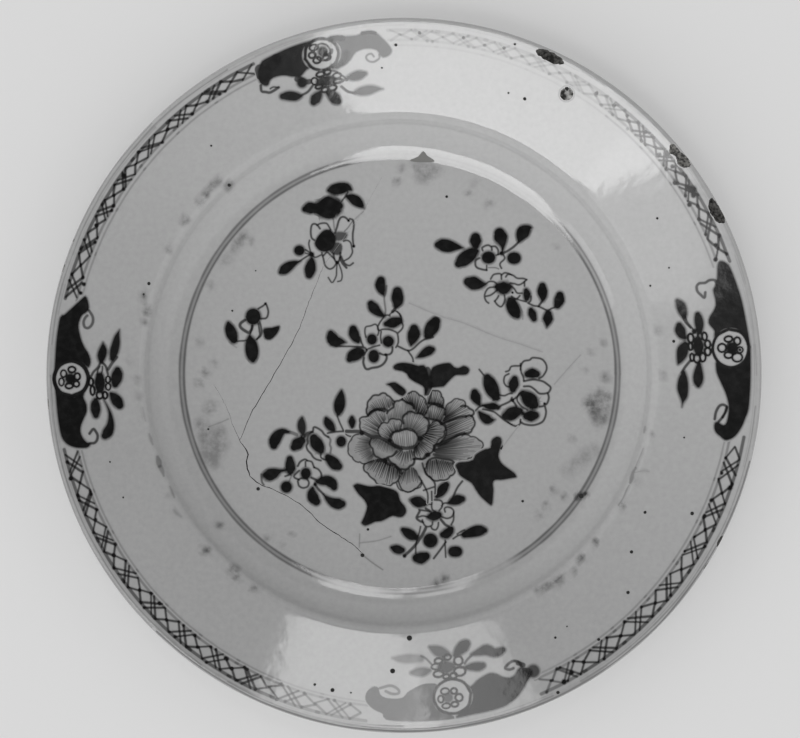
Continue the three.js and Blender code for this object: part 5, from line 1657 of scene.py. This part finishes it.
# The glaze is gone where a chip is, so the border and the lip's marks stop a little past its edge
chip_margin = 0.52
chip_gaps = []
for chip in chips:
    radius = rim_radius - chip["inset"]
    edge = []
    for a in range(0, 360, 20):
        out = radius + chip_margin * chip["breadth"] * math.cos(math.radians(a))
        along_rim = chip_margin * chip["length"] * math.sin(math.radians(a))
        edge.append((chip["turn"] + math.degrees(along_rim / out), out))
    chip_gaps.append(patch(*edge))
for name, strokes in border_arcs.items():
    painted_sheet(name, on_rim(strokes), on_rim(chip_gaps))


# Lip. A dark line painted along its edge, with a fainter one just inside, stands for the shade on its
# rounding: darkest on the near side and faintest at the top right. Faint brush marks from the glazing run
# along it.
lip_lift = 0.03
# How unevenly a mark runs, its soft edge, and the turns from one of its points to the next
lip_wander = 0.12
lip_softness = 0.35
lip_step = 5


def along_lip(radius, start, stop, width, ink):
    """A thin uneven mark along the lip, from one turn to another."""
    points = [(a, radius + chance.uniform(-lip_wander, lip_wander), width * chance.uniform(0.6, 1.3))
              for a in np.arange(start, stop + 1, lip_step)]
    return leaf(*points, ink=ink, soft=lip_softness)


# The dark lines along the edge are painted shade, darkest from 226 to 350 degrees and faintest at the top
# right
lip_shade_and_brush_marks = [along_lip(114.3, 226, 350, 0.65, 0.6), along_lip(114.5, 135, 228, 0.35, 0.4),
             along_lip(114.5, -12, 135, 0.3, 0.2)]
lip_shade_and_brush_marks += [along_lip(113.4, start, start + 55, 0.3, 0.1 if start < 120 else 0.35)
              for start in range(0, 360, 60)]
for start in range(0, 360, 15):
    for radius in (112.7, 113.2, 113.7):
        if chance.random() < 0.75:
            lip_shade_and_brush_marks.append(along_lip(radius, start, start + chance.choice([10, 15, 20]), 0.3,
                                       chance.uniform(0.06, 0.22)))
painted_sheet("lip_shade_and_brush_marks", on_rim(lip_shade_and_brush_marks), on_rim(chip_gaps), lift=lip_lift)


# Hairlines, pits and caked dirt. Cracks too fine for a groove show as thin grey lines in the glaze, and
# its pits hold dry black dirt. A pit is (x, y, size) from the well's centre or (turn, radius, size) from
# the rim's. Smears of dirt lie on the cavetto's foot, and one stain is caked on at the well's top edge.
hairlines = [
    line(0.25, (3.6, 22.7), (13.6, 18.5), (21, 16.3), (32, 11.8), (39.9, 9.3), (46.9, 6.8), ink=0.22),
    line(0.22, (59.3, 5.8), (55.6, 1.8), (50.8, -3.7), ink=0.25),
    line(0.22, (39, -17.4), (36.6, -20.6), (33.6, -24.6), ink=0.25),
    line(0.25, (-61.5, -17.5), (-58, -16.2), (-55.2, -15), ink=0.35),
    line(0.25, (-12.5, -52.4), (-12.6, -56.6), ink=0.4),
    line(0.25, (-12.5, -55.3), (-7, -54.6), (-2.4, -53.2), ink=0.35),
    line(0.3, (-12, -58.8), (-8.5, -61.6), (-5, -64), ink=0.45),
]
well_pits = [
    (-53.9, 20.2, 0.6), (-46.3, 33.2, 0.4), (-45.5, -37.7, 1.1), (-11.6, -59.3, 1.2), (-9.8, -50.9, 0.8),
    (40.5, -41.7, 0.8), (-61.7, -18.3, 0.6), (15.8, 57.3, 0.8), (-54.6, 60.7, 1), (-60.2, 73.2, 0.6),
    (59.5, -40, 1.5),
]
rim_pits = [
    (22.1, 92.2, 0.5), (20, 84.6, 0.6), (7.2, 87.7, 0.9), (31.8, 96, 0.7), (66.4, 97.2, 1),
    (69.7, 97, 0.6), (71.5, 112.2, 0.7), (91.4, 106.3, 0.9), (94.1, 99.3, 0.6), (160.2, 87.5, 1),
    (162.7, 88, 0.6), (203.5, 98.6, 0.5), (196.4, 98.7, 0.5), (257.2, 103.8, 1.2), (253.9, 103.5, 0.8),
    (260.5, 103.5, 0.5), (267.8, 95.3, 1.5), (271.2, 84.8, 1.6), (295.9, 113.2, 1), (300, 97.5, 0.7),
    (315.9, 100.4, 1), (322.2, 92.8, 1), (330.4, 89.4, 0.9), (306.4, 105.5, 0.9), (303, 96.4, 0.4),
    (334.4, 102.8, 1.1), (347.5, 92.5, 0.5), (60.3, 105.8, 0.8), (60.3, 103.8, 0.7), (60.4, 106, 1.2),
]
bubble_marks = [loop(60, 104.6, 2.75, 5.1, 0.25, ink=0.45), dot(60.4, 106, 1, ink=0.95)]
smears = [
    leaf((187, 85, 0.4), (188.5, 85, 0.7), (190, 84.8, 0.4), ink=0.2, soft=0.5),
    leaf((193, 84.4, 0.5), (194.3, 84.3, 1), (195.4, 84.2, 0.5), ink=0.35, soft=0.5),
    leaf((198.3, 83.9, 0.9), (199.4, 84, 1.8), (200.3, 84.2, 1.4), ink=0.55, soft=0.5),
    leaf((200.6, 84.1, 1.5), (201.7, 84, 1.2), (202.7, 84.1, 0.6), ink=0.45, soft=0.5),
    leaf((205.4, 83.7, 0.4), (206.6, 83.8, 0.7), (208, 84, 0.4), ink=0.4, soft=0.5),
    leaf((210.4, 86, 0.8), (211.3, 85.8, 1.2), (212.3, 85.2, 0.6), ink=0.3, soft=0.8),
    leaf((346.6, 79.8, 0.5), (347.3, 79.8, 0.8), (348, 79.7, 0.5), ink=0.3, soft=0.5),
    leaf((343, 80.8, 0.3), (341.5, 80.7, 0.5), (339.8, 80.5, 0.4), (338.4, 80.5, 0.6), ink=0.3, soft=0.4),
    leaf((338.2, 80.6, 0.8), (337, 80.4, 0.9), (335.8, 80.7, 1.3), (334.6, 80.9, 0.8), ink=0.5, soft=0.5),
    leaf((334, 80.9, 0.4), (332.6, 80.9, 0.5), (330.8, 81.1, 0.4), (328.8, 81, 0.2), ink=0.4, soft=0.4),
    leaf((337.2, 81, 0.3), (338.2, 83, 0.4), (338.6, 85, 0.2), ink=0.3, soft=0.5),
]
caked = [patch((3.8, 69), (6.4, 70.2), (8.2, 72), (9.4, 70.6), (11.8, 68.8), (8, 68.5), soft=0.1)]
dirt_lift = 0.08
smear_lift = 0.12
pit_edge = 0.05
painted_sheet("well_hairlines", on_well(hairlines), lift=upper_lift)
painted_sheet("bubble_marks", on_rim(bubble_marks), lift=upper_lift)
painted_sheet("foot_smears", on_rim(smears), lift=smear_lift)
for name, placed, pits in (("well_pits", on_well, well_pits), ("border_pits", on_rim, rim_pits)):
    dots = [dot(x, y, size, soft=pit_edge) for x, y, size in pits]
    painted_sheet(name, placed(dots), lift=dirt_lift, material=crack_dirt)
painted_sheet("caked_stain", on_well(caked), lift=dirt_lift, material=caked_dirt)
